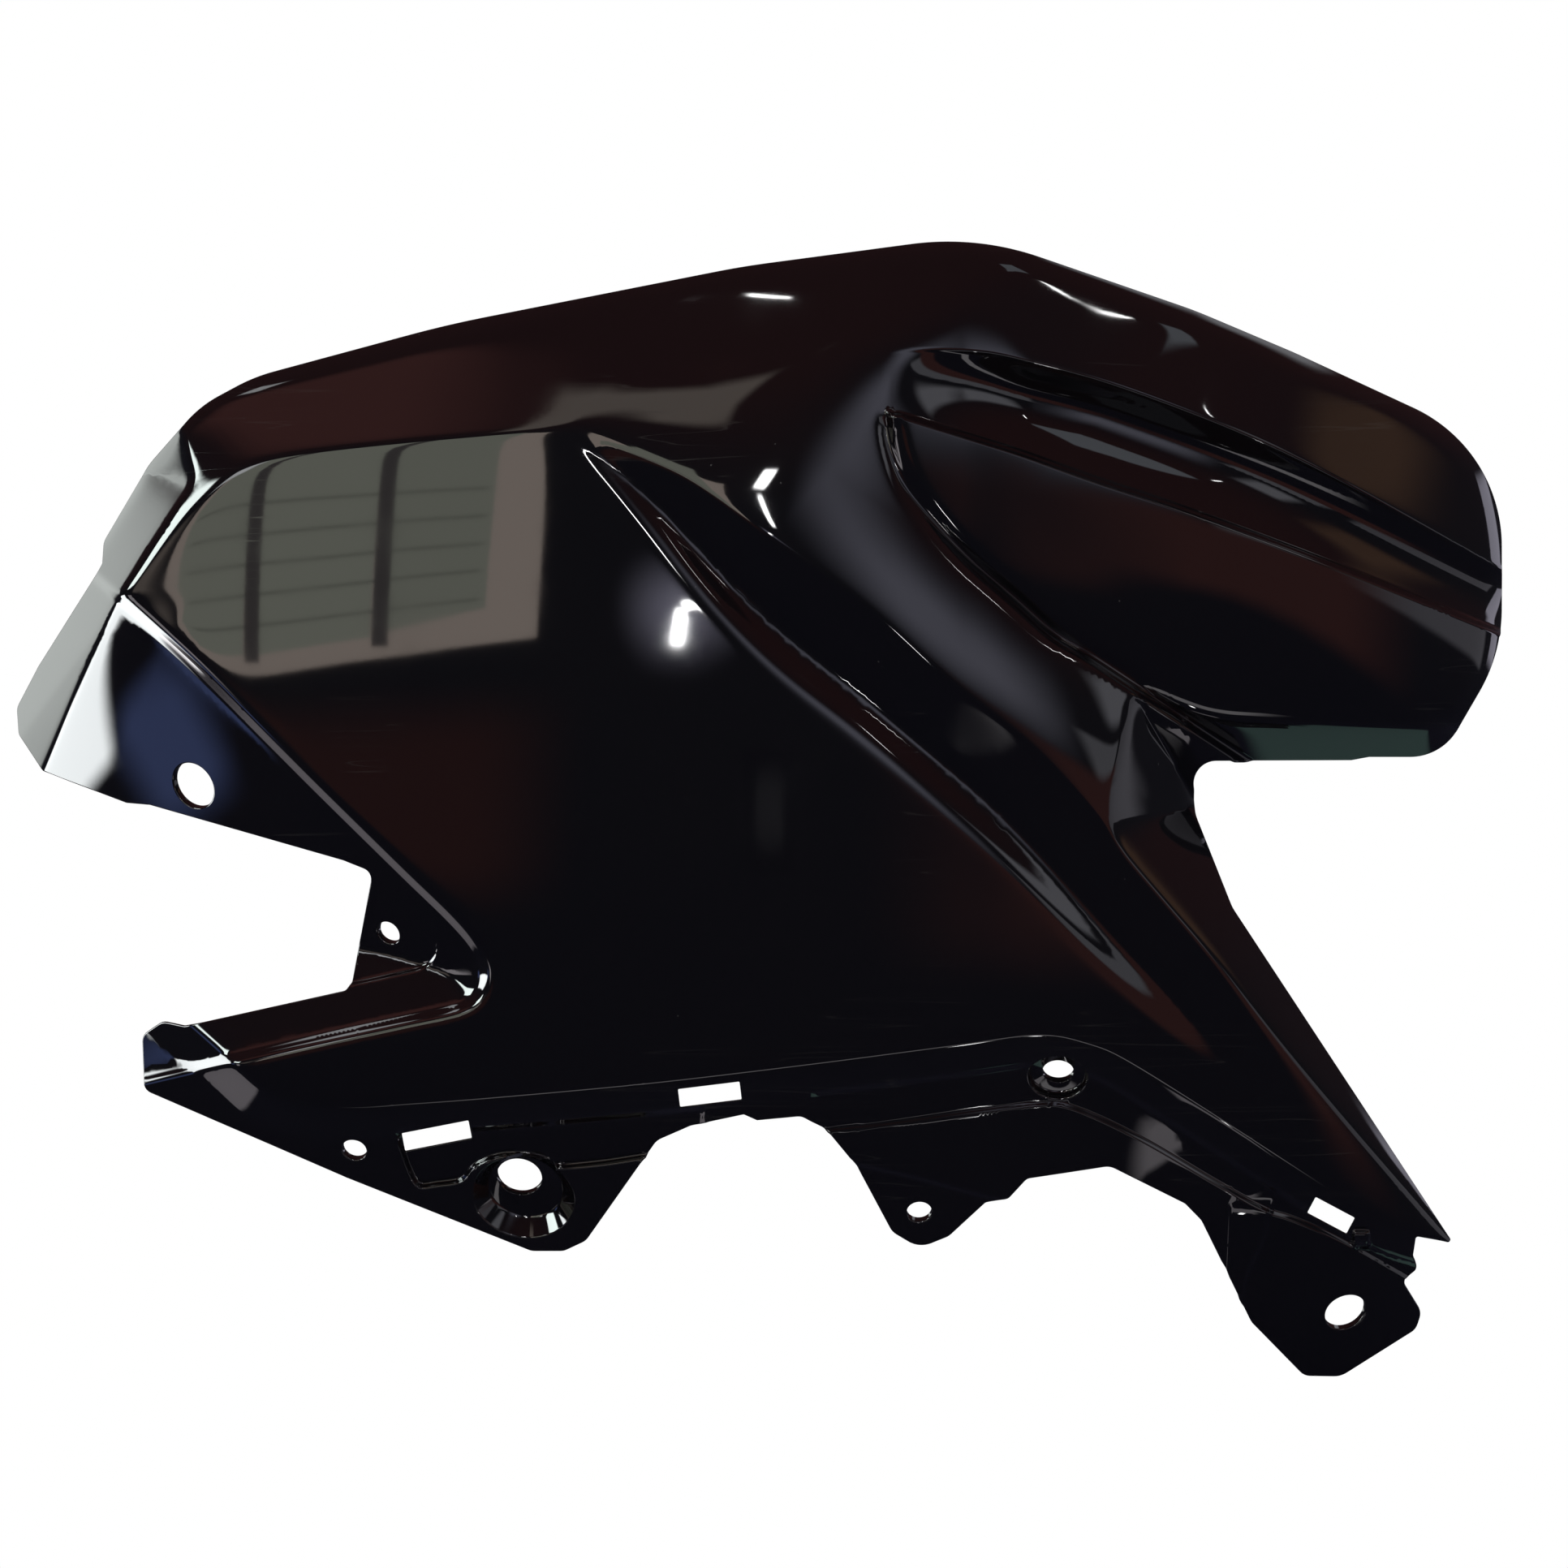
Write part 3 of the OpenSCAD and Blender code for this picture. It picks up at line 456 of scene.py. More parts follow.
# Net of points: rows along the feature lines first, then the finer boxes, then an even grid. A point
# too near to an earlier one is left out. The earlier ones are looked up in cells of 3 mm.
def skinPoints(loops, gridStep, fineStep, rows, least):
    border = loops[0]
    fine = np.vstack([evenGrid((x0, z0), (x1, z1), fineStep) for x0, x1, z0, z1 in fineZones])
    grid = evenGrid(border.min(0), border.max(0), gridStep)
    kept, cells, cellSize = [], {}, 3

    def cellOf(p):
        return int(math.floor(p[0] / cellSize)), int(math.floor(p[1] / cellSize))

    def place(p, room):
        i, j = cellOf(p)
        for key in [(i + di, j + dj) for di in (-1, 0, 1) for dj in (-1, 0, 1)]:
            for q in cells.get(key, ()):
                if (q[0] - p[0]) ** 2 + (q[1] - p[1]) ** 2 < room * room:
                    return
        cells.setdefault((i, j), []).append(p)
        kept.append(p)

    for loop in loops:
        for p in loop:
            cells.setdefault(cellOf(p), []).append(tuple(p))
    spread = panelNet["spread"]
    for points, room in ((rows, least), (fine, fineStep * spread), (grid, gridStep * spread)):
        keep = inside(points, border)
        for loop in loops[1:]:
            keep &= ~inside(points, loop)
        for p in points[keep]:
            place(tuple(p), room)
    return np.array(kept)


def triangulate(loops, points):  # the loops come first in the result, in their own order
    coords, edges, start = [], [], 0
    for loop in loops:
        n = len(loop)
        coords += [Vector(p) for p in loop.tolist()]
        edges += [(start + i, start + (i + 1) % n) for i in range(n)]
        start += n
    coords += [Vector(p) for p in points.tolist()]
    verts, _, faces, sources, _, _ = delaunay_2d_cdt(coords, edges, [], 1, 1e-6, True)
    tris = np.array(faces)
    middle = np.array([v[:] for v in verts])[tris].mean(1)
    keep = inside(middle, loops[0])
    for loop in loops[1:]:
        keep &= ~inside(middle, loop)
    back = np.array([ids[0] if ids else -1 for ids in sources])
    if (back < 0).any() or len(verts) != len(coords):
        print("net: some points were merged", len(coords), len(verts))
    flat, tris = np.array([v[:] for v in coords]), back[tris[keep]]
    a, b, c = (flat[tris[:, k]] for k in range(3))
    turned = (b[:, 0] - a[:, 0]) * (c[:, 1] - a[:, 1]) - (b[:, 1] - a[:, 1]) * (c[:, 0] - a[:, 0]) < 0
    tris[turned] = tris[turned][:, ::-1]
    return flat, tris


# The mesh is gathered as corners with normals of their own, so the gloss follows the true face.
class PanelMesh:
    def __init__(self):
        self.points, self.faces, self.normals, self.kinds, self.count = [], [], [], [], 0

    def add(self, points):
        ids = np.arange(self.count, self.count + len(points))
        self.points.append(points)
        self.count += len(points)
        return ids

    def tris(self, faces, normals, kind):
        self.faces.append(faces)
        self.normals.append(normals)
        self.kinds.append(np.full(len(faces), kind))

    def join(self, a, b, na, nb, kind):
        a2, b2, na2, nb2 = (np.roll(v, -1, axis=0) for v in (a, b, na, nb))
        self.tris(np.column_stack([a, b, b2]), np.stack([na, nb, nb2], axis=1), kind)
        self.tris(np.column_stack([a, b2, a2]), np.stack([na, nb2, na2], axis=1), kind)

    def build(self, name, materials):
        points, faces = np.vstack(self.points) * mm, np.vstack(self.faces)
        mesh = bpy.data.meshes.new(name)
        mesh.from_pydata(points.tolist(), [], faces.tolist())
        mesh.polygons.foreach_set("use_smooth", np.ones(len(faces), bool))
        mesh.polygons.foreach_set("material_index", np.concatenate(self.kinds).astype(np.int32))
        for m in materials:
            mesh.materials.append(m)
        mesh.normals_split_custom_set(unit(np.vstack(self.normals)).reshape(-1, 3).tolist())
        obj = bpy.data.objects.new(name, mesh)
        bpy.context.collection.objects.link(obj)
        return obj


def sharedNormals(one, other):  # rounded between rings that bend a little, sharp at a real corner
    littleBend = (one * other).sum(1) > 0.55
    return np.where(littleBend[:, None], unit(one + other * 0.999), one)


def wrapEdge(panel, rings, ids, firstNormals, lastIds):  # rings from the outer face round to the inner face
    along = [np.roll(p, -1, axis=0) - np.roll(p, 1, axis=0) for p in rings]
    spans = [unit(np.cross(unit(b - a), t + u)) for a, b, t, u in zip(rings, rings[1:], along, along[1:])]
    ids = [ids] + [panel.add(p) for p in rings[1:-1]] + [lastIds]
    for k, span in enumerate(spans):
        na = firstNormals if k == 0 else sharedNormals(span, spans[k - 1])
        nb = sharedNormals(span, spans[k + 1]) if k + 1 < len(spans) else span
        panel.join(ids[k], ids[k + 1], na, nb, 0)


def seatRings(seat, hole, p):  # rounded mouth, cone, rounded floor, bore, then back round to the inner face
    wall, mouth, floor, bore = panelForm["wall"], seat["mouth"] / 2, seat["floor"] / 2, seat["bore"] / 2
    n, radial, middle, origin = hole["n"], hole["radial"], hole["middle"], hole["origin"]
    lift, outer = ((p - middle) @ n)[:, None] * n, 0.6 * wall

    def ring(centre, radius, up):
        return centre + radius * radial + up * n

    cone = [ring(middle, floor + (mouth - floor) * h / seat["depth"], h) for h in (1.0, 0.45)]
    return [p, ring(middle + lift, mouth + 0.2, -0.1), ring(middle + lift, mouth, -0.4), *cone,
            ring(middle, floor - 0.05, 0.12), ring(middle, floor - 0.22, 0), ring(origin, bore + 0.15, 0),
            ring(origin, bore, -0.15), ring(origin, bore, -wall), ring(middle, floor + outer, -wall),
            meet(hole, mouth + outer + 0.6, seat["depth"] - wall, innerFace)]


def buildPanel(materials):
    f, net = panelForm, panelNet
    wall, r = f["wall"], f["edgeRound"]
    panel = PanelMesh()
    edge = roundedOutline(outlineCorners, net["edgeStep"])[::-1]
    bores = [roundHole(at, d / 2 + r, max(40, int(d * 5))) for at, d in boltHoles.values()]
    seats = [roundHole(seat["at"], seat["mouth"] / 2 + 0.5, 96, seat["depth"], seat["shift"], seat["origin"])
             for seat in (boltCup, cornerSeat)]
    slots = [slotLoop(at, tilt, size + 2 * r, high + 2 * r, r + 0.4) for at, tilt, size, high in hookSlots]
    holes = bores + seats

    outerLoops = [edge - r * loopNormals(edge)] + [h["loop"] for h in holes] + slots
    rows = lineRows(net["rowStep"], net["rowOffsets"], net["extraOffsets"])
    flat, tris = triangulate(outerLoops, skinPoints(outerLoops, net["gridStep"], net["fineStep"], rows, net["least"]))
    face, normals = onFace(flat), outward(slopeOf(flat, nearSlope))
    ids = panel.add(face)
    panel.tris(ids[tris], normals[tris], 0)
    print("outer face:", len(tris), "triangles")

    # rounded edges and walls of the outline, the holes and the slots
    bends = [(r * math.sin(a), r * (1 - math.cos(a))) for a in np.radians([30, 60, 90])]
    edges, start = [], 0
    for k, loop in enumerate(outerLoops):
        part = slice(start, start + len(loop))
        start += len(loop)
        p, n = face[part], normals[part]
        flatAway = loopNormals(loop)
        away = np.column_stack([flatAway[:, 0], np.zeros(len(loop)), flatAway[:, 1]])
        if k > len(holes):  # a slot runs straight back
            n = np.array([[0.0, -1, 0]])
        else:
            away = unit(away - n * (n * away).sum(1)[:, None])
        rings = [p] + [p + s * away - c * n for s, c in bends]
        if len(bores) < k <= len(holes):
            rings = seatRings((boltCup, cornerSeat)[k - 1 - len(bores)], holes[k - 1], p)
        elif 1 <= k <= len(bores):
            rings.append(rings[-1] - (wall - r) * holes[k - 1]["n"])
        else:
            rings.append(innerFace(rings[-1][:, [0, 2]]))
        edges.append((part, rings))

    innerLoops = [rings[-1][:, [0, 2]] for _, rings in edges]
    rows = lineRows(net["innerRowStep"], net["innerOffsets"], {})
    flat2, tris2 = triangulate(innerLoops, skinPoints(
        innerLoops, net["innerStep"], net["innerStep"], rows, net["innerLeast"]))
    back = innerFace(flat2)
    back[:start] = np.vstack([rings[-1] for _, rings in edges])
    backNormals = -outward(slopeOf(flat2, gentleSlope))
    ids2 = panel.add(back)
    panel.tris(ids2[tris2[:, ::-1]], backNormals[tris2[:, ::-1]], 1)
    for part, rings in edges:
        wrapEdge(panel, rings, ids[part], normals[part], ids2[part])
    print("inner face:", len(tris2), "triangles,", panel.count, "points in all")
    return panel.build("fairingPanel", materials)


class Socket:  # a socket that can stand in sums, such as 1 - mask
    def __init__(self, tree, socket):
        self.tree, self.socket = tree, socket

    def node(self, kind, settings=None, inputs=None, output=0):
        return addNode(self.tree, kind, settings, inputs, output)

    def maths(self, operation, *values):
        return self.node("ShaderNodeMath", {"operation": operation}, dict(enumerate(values)))

    def __add__(self, other): return self.maths("ADD", self, other)
    def __sub__(self, other): return self.maths("SUBTRACT", self, other)
    def __mul__(self, other): return self.maths("MULTIPLY", self, other)
    def __pow__(self, other): return self.maths("POWER", self, other)
    def __rsub__(self, other): return self.maths("SUBTRACT", other, self)
    def __abs__(self): return self.maths("ABSOLUTE", self)
    __radd__, __rmul__ = __add__, __mul__

    def step(self, low, high):  # 0 below low, 1 above high
        return self.node("ShaderNodeMapRange", {"interpolation_type": "SMOOTHSTEP", "clamp": True},
                         {"Value": self, "From Min": low, "From Max": high})


def addNode(tree, kind, settings=None, inputs=None, output=0):
    node = tree.nodes.new(kind)
    for name, value in (settings or {}).items():
        setattr(node, name, value)
    for name, value in (inputs or {}).items():
        if isinstance(value, Socket):
            tree.links.new(value.socket, node.inputs[name])
        else:
            node.inputs[name].default_value = value
    return Socket(tree, node.outputs[output])


def addNoise(tree, place, scale, detail):
    return addNode(tree, "ShaderNodeTexNoise", None, {"Vector": place, "Scale": scale, "Detail": detail}, "Fac")


def splitVector(tree, place):
    parts = addNode(tree, "ShaderNodeSeparateXYZ", None, {0: place}).socket.node
    return [Socket(tree, part) for part in parts.outputs]


def newMaterial(name):
    material = bpy.data.materials.new(name)
    material.use_nodes = True
    material.node_tree.nodes.clear()
    return material, material.node_tree


def finishMaterial(tree, shader):
    out = tree.nodes.new("ShaderNodeOutputMaterial")
    tree.links.new(shader.socket, out.inputs["Surface"])


def mixColors(tree, factor, a, b):
    return addNode(tree, "ShaderNodeMix", {"data_type": "RGBA"}, {"Factor": factor, "A": a, "B": b}, "Result")


# Scales are how many times a pattern changes in a metre, heights are in metres.
glossLook = {
    "dark": (0.0018, 0.0018, 0.0026, 1), "light": (0.0032, 0.0028, 0.0032, 1), "cloudScale": 9,
    "roughness": 0.03, "coat": 0.6, "coatRoughness": 0.03,
    "smear": 0.03, "smearScale": 38, "smearFrom": (0.45, 0.75),
    "dust": 0.05, "dustColor": (0.55, 0.53, 0.5, 1), "dustScale": 190, "dustSize": (0.03, 0.07),
    "dustRoughness": 0.3, "dustPatches": 33, "dustPatchFrom": (0.6, 0.7),
    "hair": 0.01, "hairRoughness": 0.1, "hairTilt": 0.35, "hairStretch": (6, 6, 210), "hairWidth": (0.0015, 0.006),
    "hairPatches": 13, "hairPatchFrom": (0.56, 0.66),
    "wave": 0.00003, "waveScale": 30, "peel": 0.0000008, "peelScale": 420,
}


def glossBlack():
    look = glossLook
    material, tree = newMaterial("glossBlackPlastic")
    place = addNode(tree, "ShaderNodeTexCoord", output="Object")
    cloud = addNoise(tree, place, look["cloudScale"], 3)
    smear = addNoise(tree, place, look["smearScale"], 4).step(*look["smearFrom"])
    cells = addNode(tree, "ShaderNodeTexVoronoi", None, {"Vector": place, "Scale": look["dustScale"]}, "Distance")
    sparse = addNoise(tree, place, look["dustPatches"], 2).step(*look["dustPatchFrom"])
    dust = (1 - cells.step(*look["dustSize"])) * sparse
    # hairlines from cleaning, each a thin line of a stretched noise
    turned = addNode(tree, "ShaderNodeMapping", None, {
        "Vector": place, "Rotation": (0, look["hairTilt"], 0), "Scale": look["hairStretch"]})
    fromLine = abs(addNoise(tree, turned, 1, 1) - 0.5)
    patches = addNoise(tree, place, look["hairPatches"], 1).step(*look["hairPatchFrom"])
    hairs = (1 - fromLine.step(*look["hairWidth"])) * patches
    base = mixColors(tree, cloud, look["dark"], look["light"])
    base = mixColors(tree, dust * look["dust"] + hairs * look["hair"], base, look["dustColor"])
    rough = (look["roughness"] + smear * look["smear"] + hairs * look["hairRoughness"]
             + dust * look["dustRoughness"])
    wave = addNode(tree, "ShaderNodeBump", None, {
        "Strength": 1, "Distance": look["wave"], "Height": addNoise(tree, place, look["waveScale"], 0)})
    peel = addNode(tree, "ShaderNodeBump", None, {
        "Strength": 1, "Distance": look["peel"], "Height": addNoise(tree, place, look["peelScale"], 1),
        "Normal": wave})
    finishMaterial(tree, addNode(tree, "ShaderNodeBsdfPrincipled", None, {
        "Base Color": base, "Roughness": rough, "Normal": peel, "IOR": 1.5, "Coat Weight": look["coat"],
        "Coat Roughness": look["coatRoughness"], "Coat IOR": 1.5}))
    return material


satinLook = {"dark": (0.011, 0.011, 0.012, 1), "light": (0.02, 0.02, 0.021, 1), "cloudScale": 14,
             "roughness": 0.36, "cloudRoughness": 0.16, "grain": 0.00008, "grainScale": 900}


def satinBack():
    look = satinLook
    material, tree = newMaterial("satinBlackInside")
    place = addNode(tree, "ShaderNodeTexCoord", output="Object")
    cloud = addNoise(tree, place, look["cloudScale"], 3)
    bump = addNode(tree, "ShaderNodeBump", None, {
        "Strength": 0.5, "Distance": look["grain"], "Height": addNoise(tree, place, look["grainScale"], 2)})
    finishMaterial(tree, addNode(tree, "ShaderNodeBsdfPrincipled", None, {
        "Base Color": mixColors(tree, cloud, look["dark"], look["light"]),
        "Roughness": look["roughness"] + cloud * look["cloudRoughness"], "Normal": bump, "IOR": 1.5}))
    return material


panel = buildPanel([glossBlack(), satinBack()])
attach(panel, "root")
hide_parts("fairing_panel")
print("panel built")

# Stage: pale floor and surround, soft cards around the panel that its gloss mirrors. In metres.
aim = Vector((0.09, -0.05, 0.14))
stageLook = {
    "floorZ": -0.0705, "floorHalf": 5, "floorDark": (0.8, 0.8, 0.8, 1), "floorLight": (0.86, 0.86, 0.85, 1),
    "floorRoughness": 0.8, "surround": 1.0, "surroundRadius": 14, "cardDistance": 10, "cardGap": 0.03,
    "horizon": (0.03, 0.03, 0.04, 1), "above": (0.10, 0.035, 0.035, 1), "below": (0.02, 0.02, 0.035, 1),
}
paneTint, creamTint, brownTint = (0.76, 0.79, 0.66), (1, 0.84, 0.74), (1, 0.36, 0.32)
white, coolWhite, mullionTint = (1, 1, 1), (0.95, 0.97, 1), (1, 0.9, 0.9)

# Each card: corners as azimuth and elevation in degrees seen from the panel, from the
# lower left one on, then its radiance, tint and how soft its edge is. Azimuth 0 is towards
# the camera and falls to the front of the bike. Later cards stand before earlier ones.
cards = {
    "brownWall": [(-50, -24), (-22, -24), (-20, -10), (-50, -10), 0.14, brownTint, 0.3],
    "frameLeft": [(-60, -10), (-46, -10), (-46, 4), (-58, 4), 0.7, creamTint, 0.3],
    "windowFrame": [(-46.6, -10.2), (-24, -8.3), (-22, 12), (-46.5, 12), 1.9, creamTint, 0.01],
    "paneLeft": [(-45.6, -9), (-41.8, -8.6), (-39.7, 14), (-45, 14), 1.7, paneTint, 0.01],
    "paneMiddle": [(-40.9, -8.6), (-34.2, -8), (-32.2, 14), (-39.1, 14), 1.7, paneTint, 0.01],
    "paneRight": [(-33.2, -7.7), (-27.2, -6.6), (-25, 14), (-31.4, 14), 1.6, paneTint, 0.01],
    "barOne": [(-45.4, -7.4), (-27.2, -6.1), (-27.2, -5.9), (-45.4, -7.2), 1.1, paneTint, 0.05],
    "barTwo": [(-45.4, -5.8), (-27, -4.5), (-27, -4.3), (-45.4, -5.6), 1.1, paneTint, 0.05],
    "barThree": [(-45.4, -4.2), (-26.8, -3), (-26.8, -2.8), (-45.4, -4), 1.1, paneTint, 0.05],
    "barFour": [(-45.4, -2.6), (-26.6, -1.5), (-26.6, -1.3), (-45.4, -2.4), 1.1, paneTint, 0.05],
    "barFive": [(-45.4, -0.9), (-26.4, 0), (-26.4, 0.2), (-45.4, -0.7), 1.1, paneTint, 0.05],
    "mullionLeft": [(-41.8, -9), (-40.9, -9), (-39.1, 14), (-40, 14), 0.3, mullionTint, 0.01],
    "mullionRight": [(-34.2, -8.5), (-33.2, -8.5), (-31.4, 14), (-32.4, 14), 0.3, mullionTint, 0.01],
    "upperPane": [(-31, 24), (-22, 24), (-22, 42), (-31, 42), 0.8, creamTint, 0.2],
    "lampGlow": [(-19.5, -11.5), (-10, -11.5), (-10, -2), (-19.5, -2), 1.6, (0.78, 0.76, 1), "round"],
    "lampStem": [(-15.3, -9), (-14.5, -9.1), (-14.3, -6.6), (-15.1, -6.6), 60, white, 0.2],
    "lampArm": [(-14.6, -7.1), (-12, -5.7), (-12.2, -5.1), (-14.9, -6.4), 60, white, 0.2],
    "lampHigh": [(-16.8, 10.7), (-13.2, 9.8), (-9.5, 14.3), (-14.2, 15), 40, white, 0.25],
    "lampLow": [(-9.6, -0.9), (-8.2, -0.6), (-14, 10), (-15.4, 10), 40, white, 0.2],
    "stripGlow": [(-8, -16), (22, -16), (34, 24), (-6, 22), 0.85, (0.8, 0.8, 1), 0.45],
    "bowlCard": [(34, 2), (54, 2), (54, 20), (34, 20), 0.9, (0.9, 0.9, 1), 0.3],
    "pillarCard": [(22, -14), (56, -14), (56, 0), (22, 0), 0.6, (0.9, 0.9, 1), 0.15],
    "dishCard": [(28, 38), (42, 38), (42, 54), (28, 54), 0.8, (0.85, 0.9, 1), 0.1],
    "flankCard": [(58, -16), (112, -16), (108, 0), (62, 0), 0.45, (0.9, 0.88, 1), 0.08],
    "rimCard": [(115, -14), (126, -14), (126, 14), (115, 14), 1.3, (0.86, 0.83, 1), 0.1],
    "underCard": [(130, -66), (163, -68), (163, -54), (130, -46), 0.24, (0.6, 1, 0.92), 0.1],
    "wallCard": [(-120, -47), (-104, -47), (-104, -33), (-120, -33), 0.8, (1, 0.92, 1), 0.15],
    "noseSide": [(-140, -6), (-120, -6), (-120, 26), (-140, 26), 2.3, (0.9, 0.95, 0.92), 0.2],
    "chamferCard": [(-80, 5), (-60, 4), (-60, 20.5), (-78, 20.5), 14, (0.9, 1, 0.97), 0.12],
    "edgeCard": [(-78, -32), (-62, -24), (-60, -12), (-78, -16), 2, (1, 0.93, 0.98), 0.2],
    "armLamp": [(-50, 5), (-43, 5), (-43, 14), (-50, 14), 4, coolWhite, 0.2],
    "armLampHigh": [(-78, 46), (-64, 44), (-64, 50), (-78, 52), 2.5, coolWhite, 0.2],
    "lampTopRear": [(39.6, 27.6), (40.4, 27.8), (41, 33.4), (40.2, 33.4), 25, white, 0.3],
    "backHigh": [(95, 40), (165, 40), (165, 62), (95, 62), 1.2, (0.93, 0.93, 1), 0.25],
    "brownTop": [(-75, 22), (-27, 30), (-27, 48), (-75, 42), 0.36, brownTint, 0.3],
    "brownLobe": [(-5, -29), (82, -29), (82, -9), (-5, -9), 0.22, brownTint, 0.25],
    "orangeRear": [(62, 10), (100, 10), (100, 30), (62, 30), 0.32, (1, 0.55, 0.35), 0.35],
    "ledgeCard": [(-55, -60), (60, -60), (60, -52), (-55, -52), 1.1, (1, 0.96, 1), 0.2],
    "spotLow": [(13, -66), (17, -66), (17, -62), (13, -62), 30, white, 0.3],
}

# Small cards near the panel, laid out the same way but seen from a point and distance of their own.
# The crease flag has the room's own tone and keeps the crease lamp out of the lower face.
nearCards = {
    "noseBlue": [(-87, -44), (-72, -42), (-72, -25), (-87, -25), 0.9, (0.3, 0.42, 1), 0.35,
                 (-0.125, 0.01, 0.155), 0.32],
    "noseWhite": [(-113, -34), (-84.5, -34), (-86, -4), (-113, -4), 11, (0.95, 0.99, 1), 0.12,
                  (-0.125, 0.01, 0.155), 0.3],
    "wallWhite": [(-116, -43), (-102, -43), (-102, -35), (-116, -35), 10, (1, 0.98, 1), 0.15,
                  (-0.13, 0.01, 0.19), 0.25],
    "topLamp": [(-34.4, 49.8), (-29.7, 50.4), (-29.7, 50.8), (-34.4, 50.2), 40, white, 0.2,
                (0.079, -0.075, 0.3), 0.3],
    "bandCard": [(-74.9, -62.6), (64.8, -73.5), (29.5, -59), (-44.7, -51.7), 0.9, (1, 0.93, 1), 0.15,
                 (0.2365, -0.02, 0.0055), 0.1],
    "creaseLamp": [(-25, -35), (-23, -35), (-21, -24), (-23, -24), 30, white, 0.2,
                   (0.135, -0.075, 0.179), 0.25],
    "creaseFlag": [(-16, -33.5), (-3.5, -33.5), (-3.5, -4), (-16, -4), 1, (0.02, 0.02, 0.032), 0.03,
                   (0.0847, -0.07, 0.124), 0.109],
}


def cardMaterial(name, strength, color, soft):
    material, tree = newMaterial(name + "Light")
    across, upward, _ = splitVector(tree, addNode(tree, "ShaderNodeTexCoord", output="UV"))
    if soft == "round":
        away = ((across - 0.5) ** 2 + (upward - 0.5) ** 2) ** 0.5
        glow = (1 - away.step(0, 0.5)) ** 1.5
    else:
        glow = (across.step(0, soft) * (1 - across.step(1 - soft, 1))
                * upward.step(0, soft) * (1 - upward.step(1 - soft, 1)))
    light = addNode(tree, "ShaderNodeEmission", None, {"Color": (*color, 1), "Strength": strength})
    clear = addNode(tree, "ShaderNodeBsdfTransparent")
    finishMaterial(tree, addNode(tree, "ShaderNodeMixShader", None, {0: glow, 1: clear, 2: light}))
    return material


def addStaged(name, points, faces, material):
    mesh = bpy.data.meshes.new(name)
    mesh.from_pydata(points, [], faces)
    mesh.materials.append(material)
    obj = bpy.data.objects.new(name, mesh)
    bpy.context.collection.objects.link(obj)
    return obj


def addSheet(name, rows, material):  # rows of points, with card coordinates from 0 to 1
    high, wide = len(rows) - 1, len(rows[0]) - 1
    quads = [(k, k + 1, k + wide + 2, k + wide + 1) for r in range(high)
             for k in range(r * (wide + 1), r * (wide + 1) + wide)]
    sheet = addStaged(name, [tuple(p) for row in rows for p in row], quads, material)
    uv = sheet.data.uv_layers.new(name="card")
    for loop in sheet.data.loops:
        r, c = divmod(loop.vertex_index, wide + 1)
        uv.data[loop.index].uv = (c / wide, r / high)
    return sheet


def direction(azimuth, elevation):
    a, e = math.radians(azimuth), math.radians(elevation)
    return Vector((math.sin(a) * math.cos(e), -math.cos(a) * math.cos(e), math.sin(e)))


def addCard(name, card, start, distance):
    lowLeft, lowRight, topRight, topLeft = [Vector(corner) for corner in card[:4]]
    rows, steps = [], np.linspace(0, 1, 9)
    for up in steps:
        left, right = lowLeft.lerp(topLeft, up), lowRight.lerp(topRight, up)
        rows.append([Vector(start) + direction(*left.lerp(right, across)) * distance for across in steps])
    sheet = addSheet(name, rows, cardMaterial(name, *card[4:]))
    sheet.visible_camera = sheet.visible_diffuse = sheet.visible_shadow = False


def addCards():
    for k, (name, card) in enumerate(cards.items()):
        addCard(name, card, aim, stageLook["cardDistance"] - stageLook["cardGap"] * k)
    for name, (*card, start, distance) in nearCards.items():
        addCard(name, card, start, distance)


def addFloor():
    look = stageLook
    material, tree = newMaterial("paleFloor")
    mottle = addNoise(tree, addNode(tree, "ShaderNodeTexCoord", output="Object"), 3, 4)
    tone = mixColors(tree, mottle, look["floorDark"], look["floorLight"])
    finishMaterial(tree, addNode(tree, "ShaderNodeBsdfPrincipled", None, {
        "Base Color": tone, "Roughness": look["floorRoughness"]}))
    half, z = look["floorHalf"], look["floorZ"]
    floor = addSheet("floor", [[(-half, y, z), (half, y, z)] for y in (-half, half)], material)
    floor.visible_glossy = False


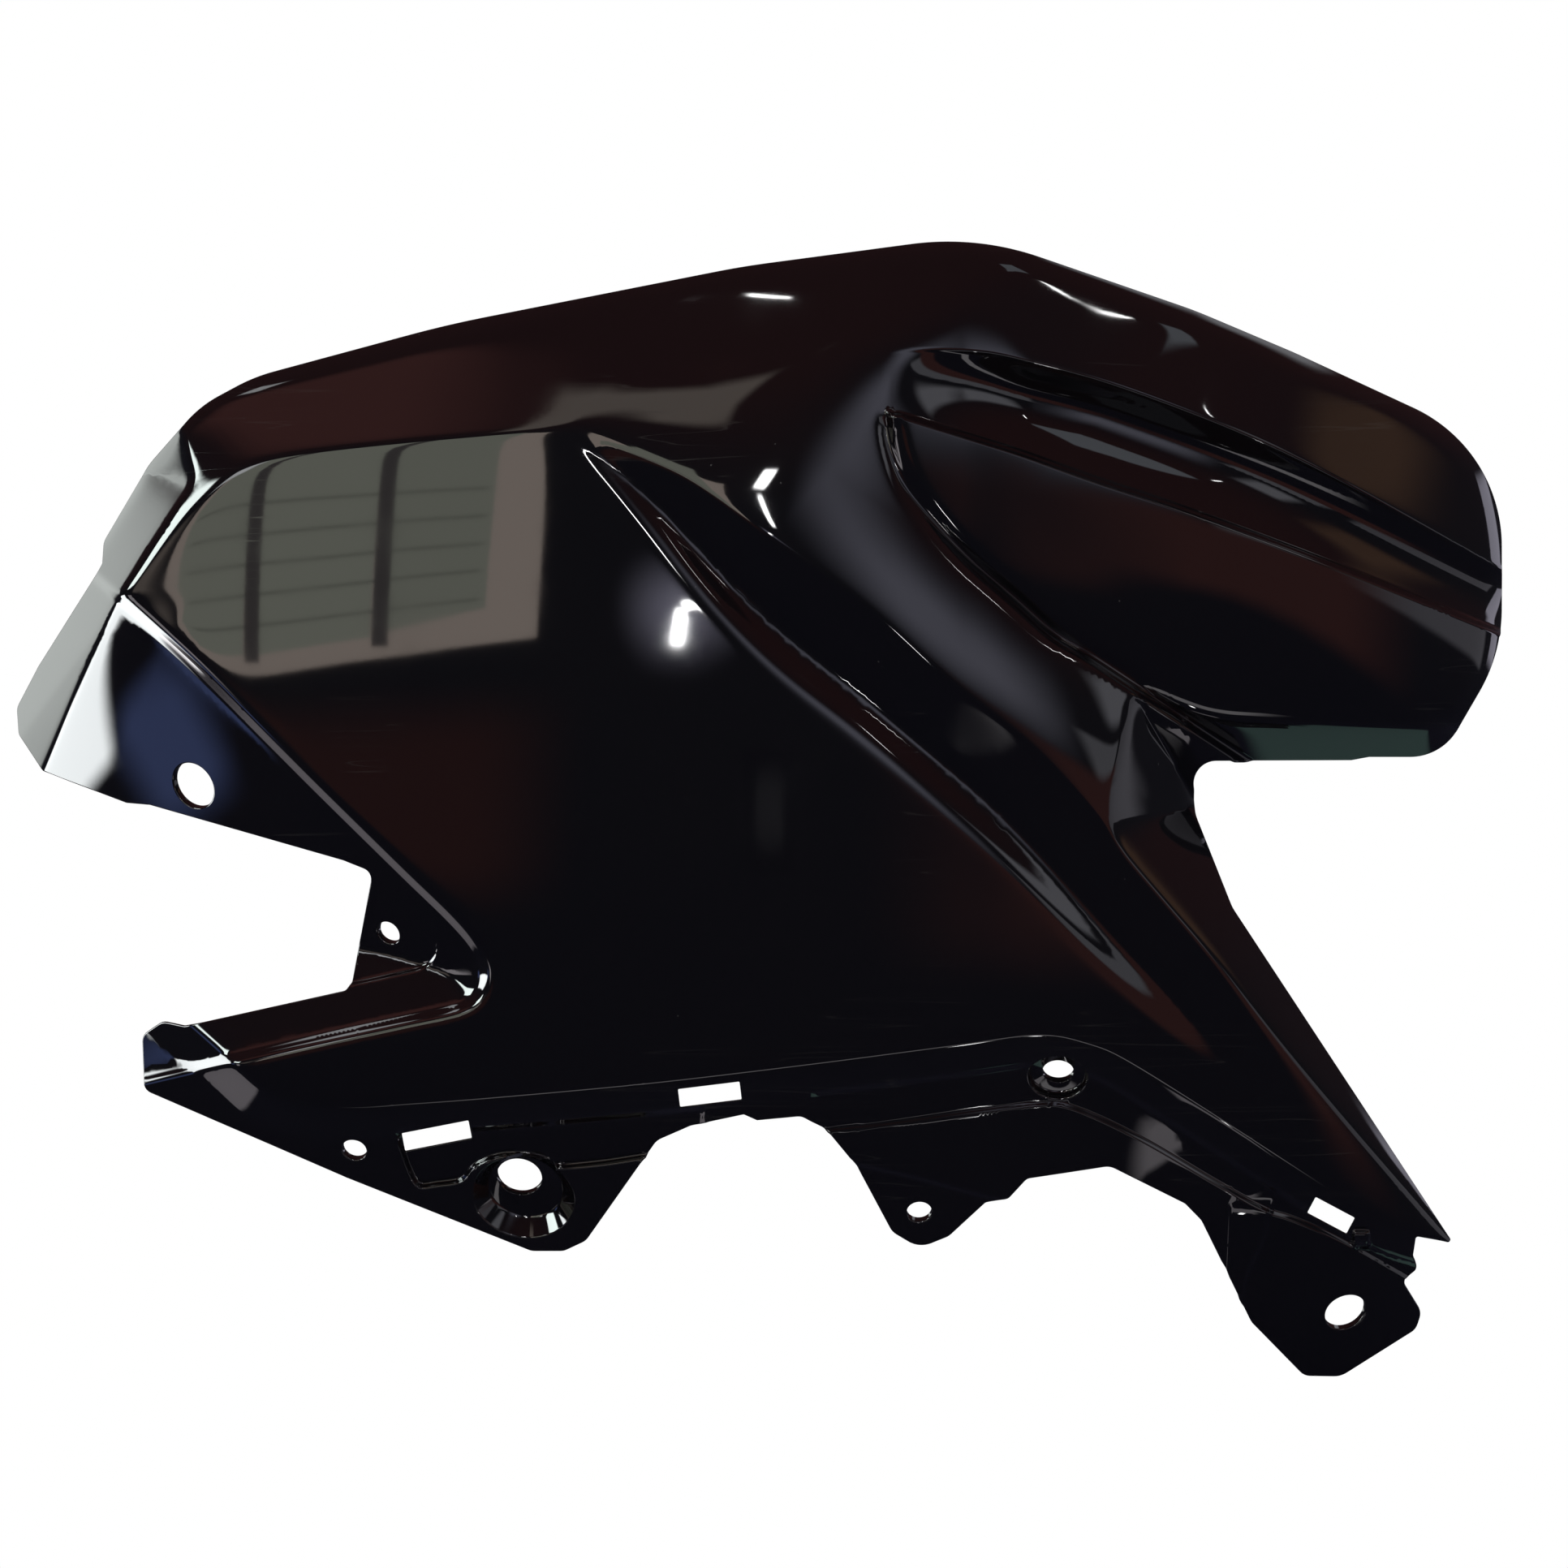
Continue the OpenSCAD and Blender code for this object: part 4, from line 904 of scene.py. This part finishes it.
def addSurround():  # a pale ball around everything, open at its poles, seen by the camera and by matt faces only
    look, around = stageLook, 32
    material, tree = newMaterial("paleSurround")
    finishMaterial(tree, addNode(tree, "ShaderNodeEmission", None, {
        "Color": (1, 1, 1, 1), "Strength": look["surround"]}))
    latitudes = np.radians([-89.9, -45, 0, 45, 89.9])
    points = [Vector((math.cos(t) * math.cos(p), math.sin(t) * math.cos(p), math.sin(p))) * look["surroundRadius"]
              for p in latitudes for t in np.linspace(0, 2 * math.pi, around, endpoint=False)]
    faces = [(r * around + k, r * around + (k + 1) % around, (r + 1) * around + (k + 1) % around, (r + 1) * around + k)
             for r in range(len(latitudes) - 1) for k in range(around)]
    surround = addStaged("surround", points, faces, material)
    surround.visible_glossy = surround.visible_shadow = False


def addRoomTone():  # what the gloss mirrors between the cards
    look = stageLook
    world = bpy.data.worlds.new("darkRoom")
    bpy.context.scene.world = world
    world.use_nodes = True
    tree = world.node_tree
    tree.nodes.clear()
    up = splitVector(tree, addNode(tree, "ShaderNodeTexCoord", output="Generated"))[2]
    tone = mixColors(tree, up.step(0.05, 0.7), look["horizon"], look["above"])
    tone = mixColors(tree, (0 - up).step(0.1, 0.6), tone, look["below"])
    back = addNode(tree, "ShaderNodeBackground", None, {"Color": tone, "Strength": 1})
    out = tree.nodes.new("ShaderNodeOutputWorld")
    tree.links.new(back.socket, out.inputs["Surface"])


addFloor()
addSurround()
addRoomTone()
addCards()
print("stage built")

# The photograph is taken straight at the outer face. One of its 1932 pixels is 0.275 mm here, and the
# bore of the bolt cup, where x and z are 0, is at 640 and 1450 pixels from its top left corner.
photoView = {"pixel": 0.275 * mm, "pixels": 1932, "zeroX": 640, "zeroZ": 1450, "distance": 3}
middlePixel = photoView["pixels"] / 2
cameraData = bpy.data.cameras.new("camera")
cameraData.type = "ORTHO"
cameraData.ortho_scale = photoView["pixel"] * photoView["pixels"]
camera = bpy.data.objects.new("camera", cameraData)
camera.location = ((middlePixel - photoView["zeroX"]) * photoView["pixel"], -photoView["distance"],
                   (photoView["zeroZ"] - middlePixel) * photoView["pixel"])
camera.rotation_euler = (math.pi / 2, 0, 0)
bpy.context.collection.objects.link(camera)
bpy.context.scene.camera = camera
bpy.context.scene.view_settings.view_transform = "Standard"
print("camera set")
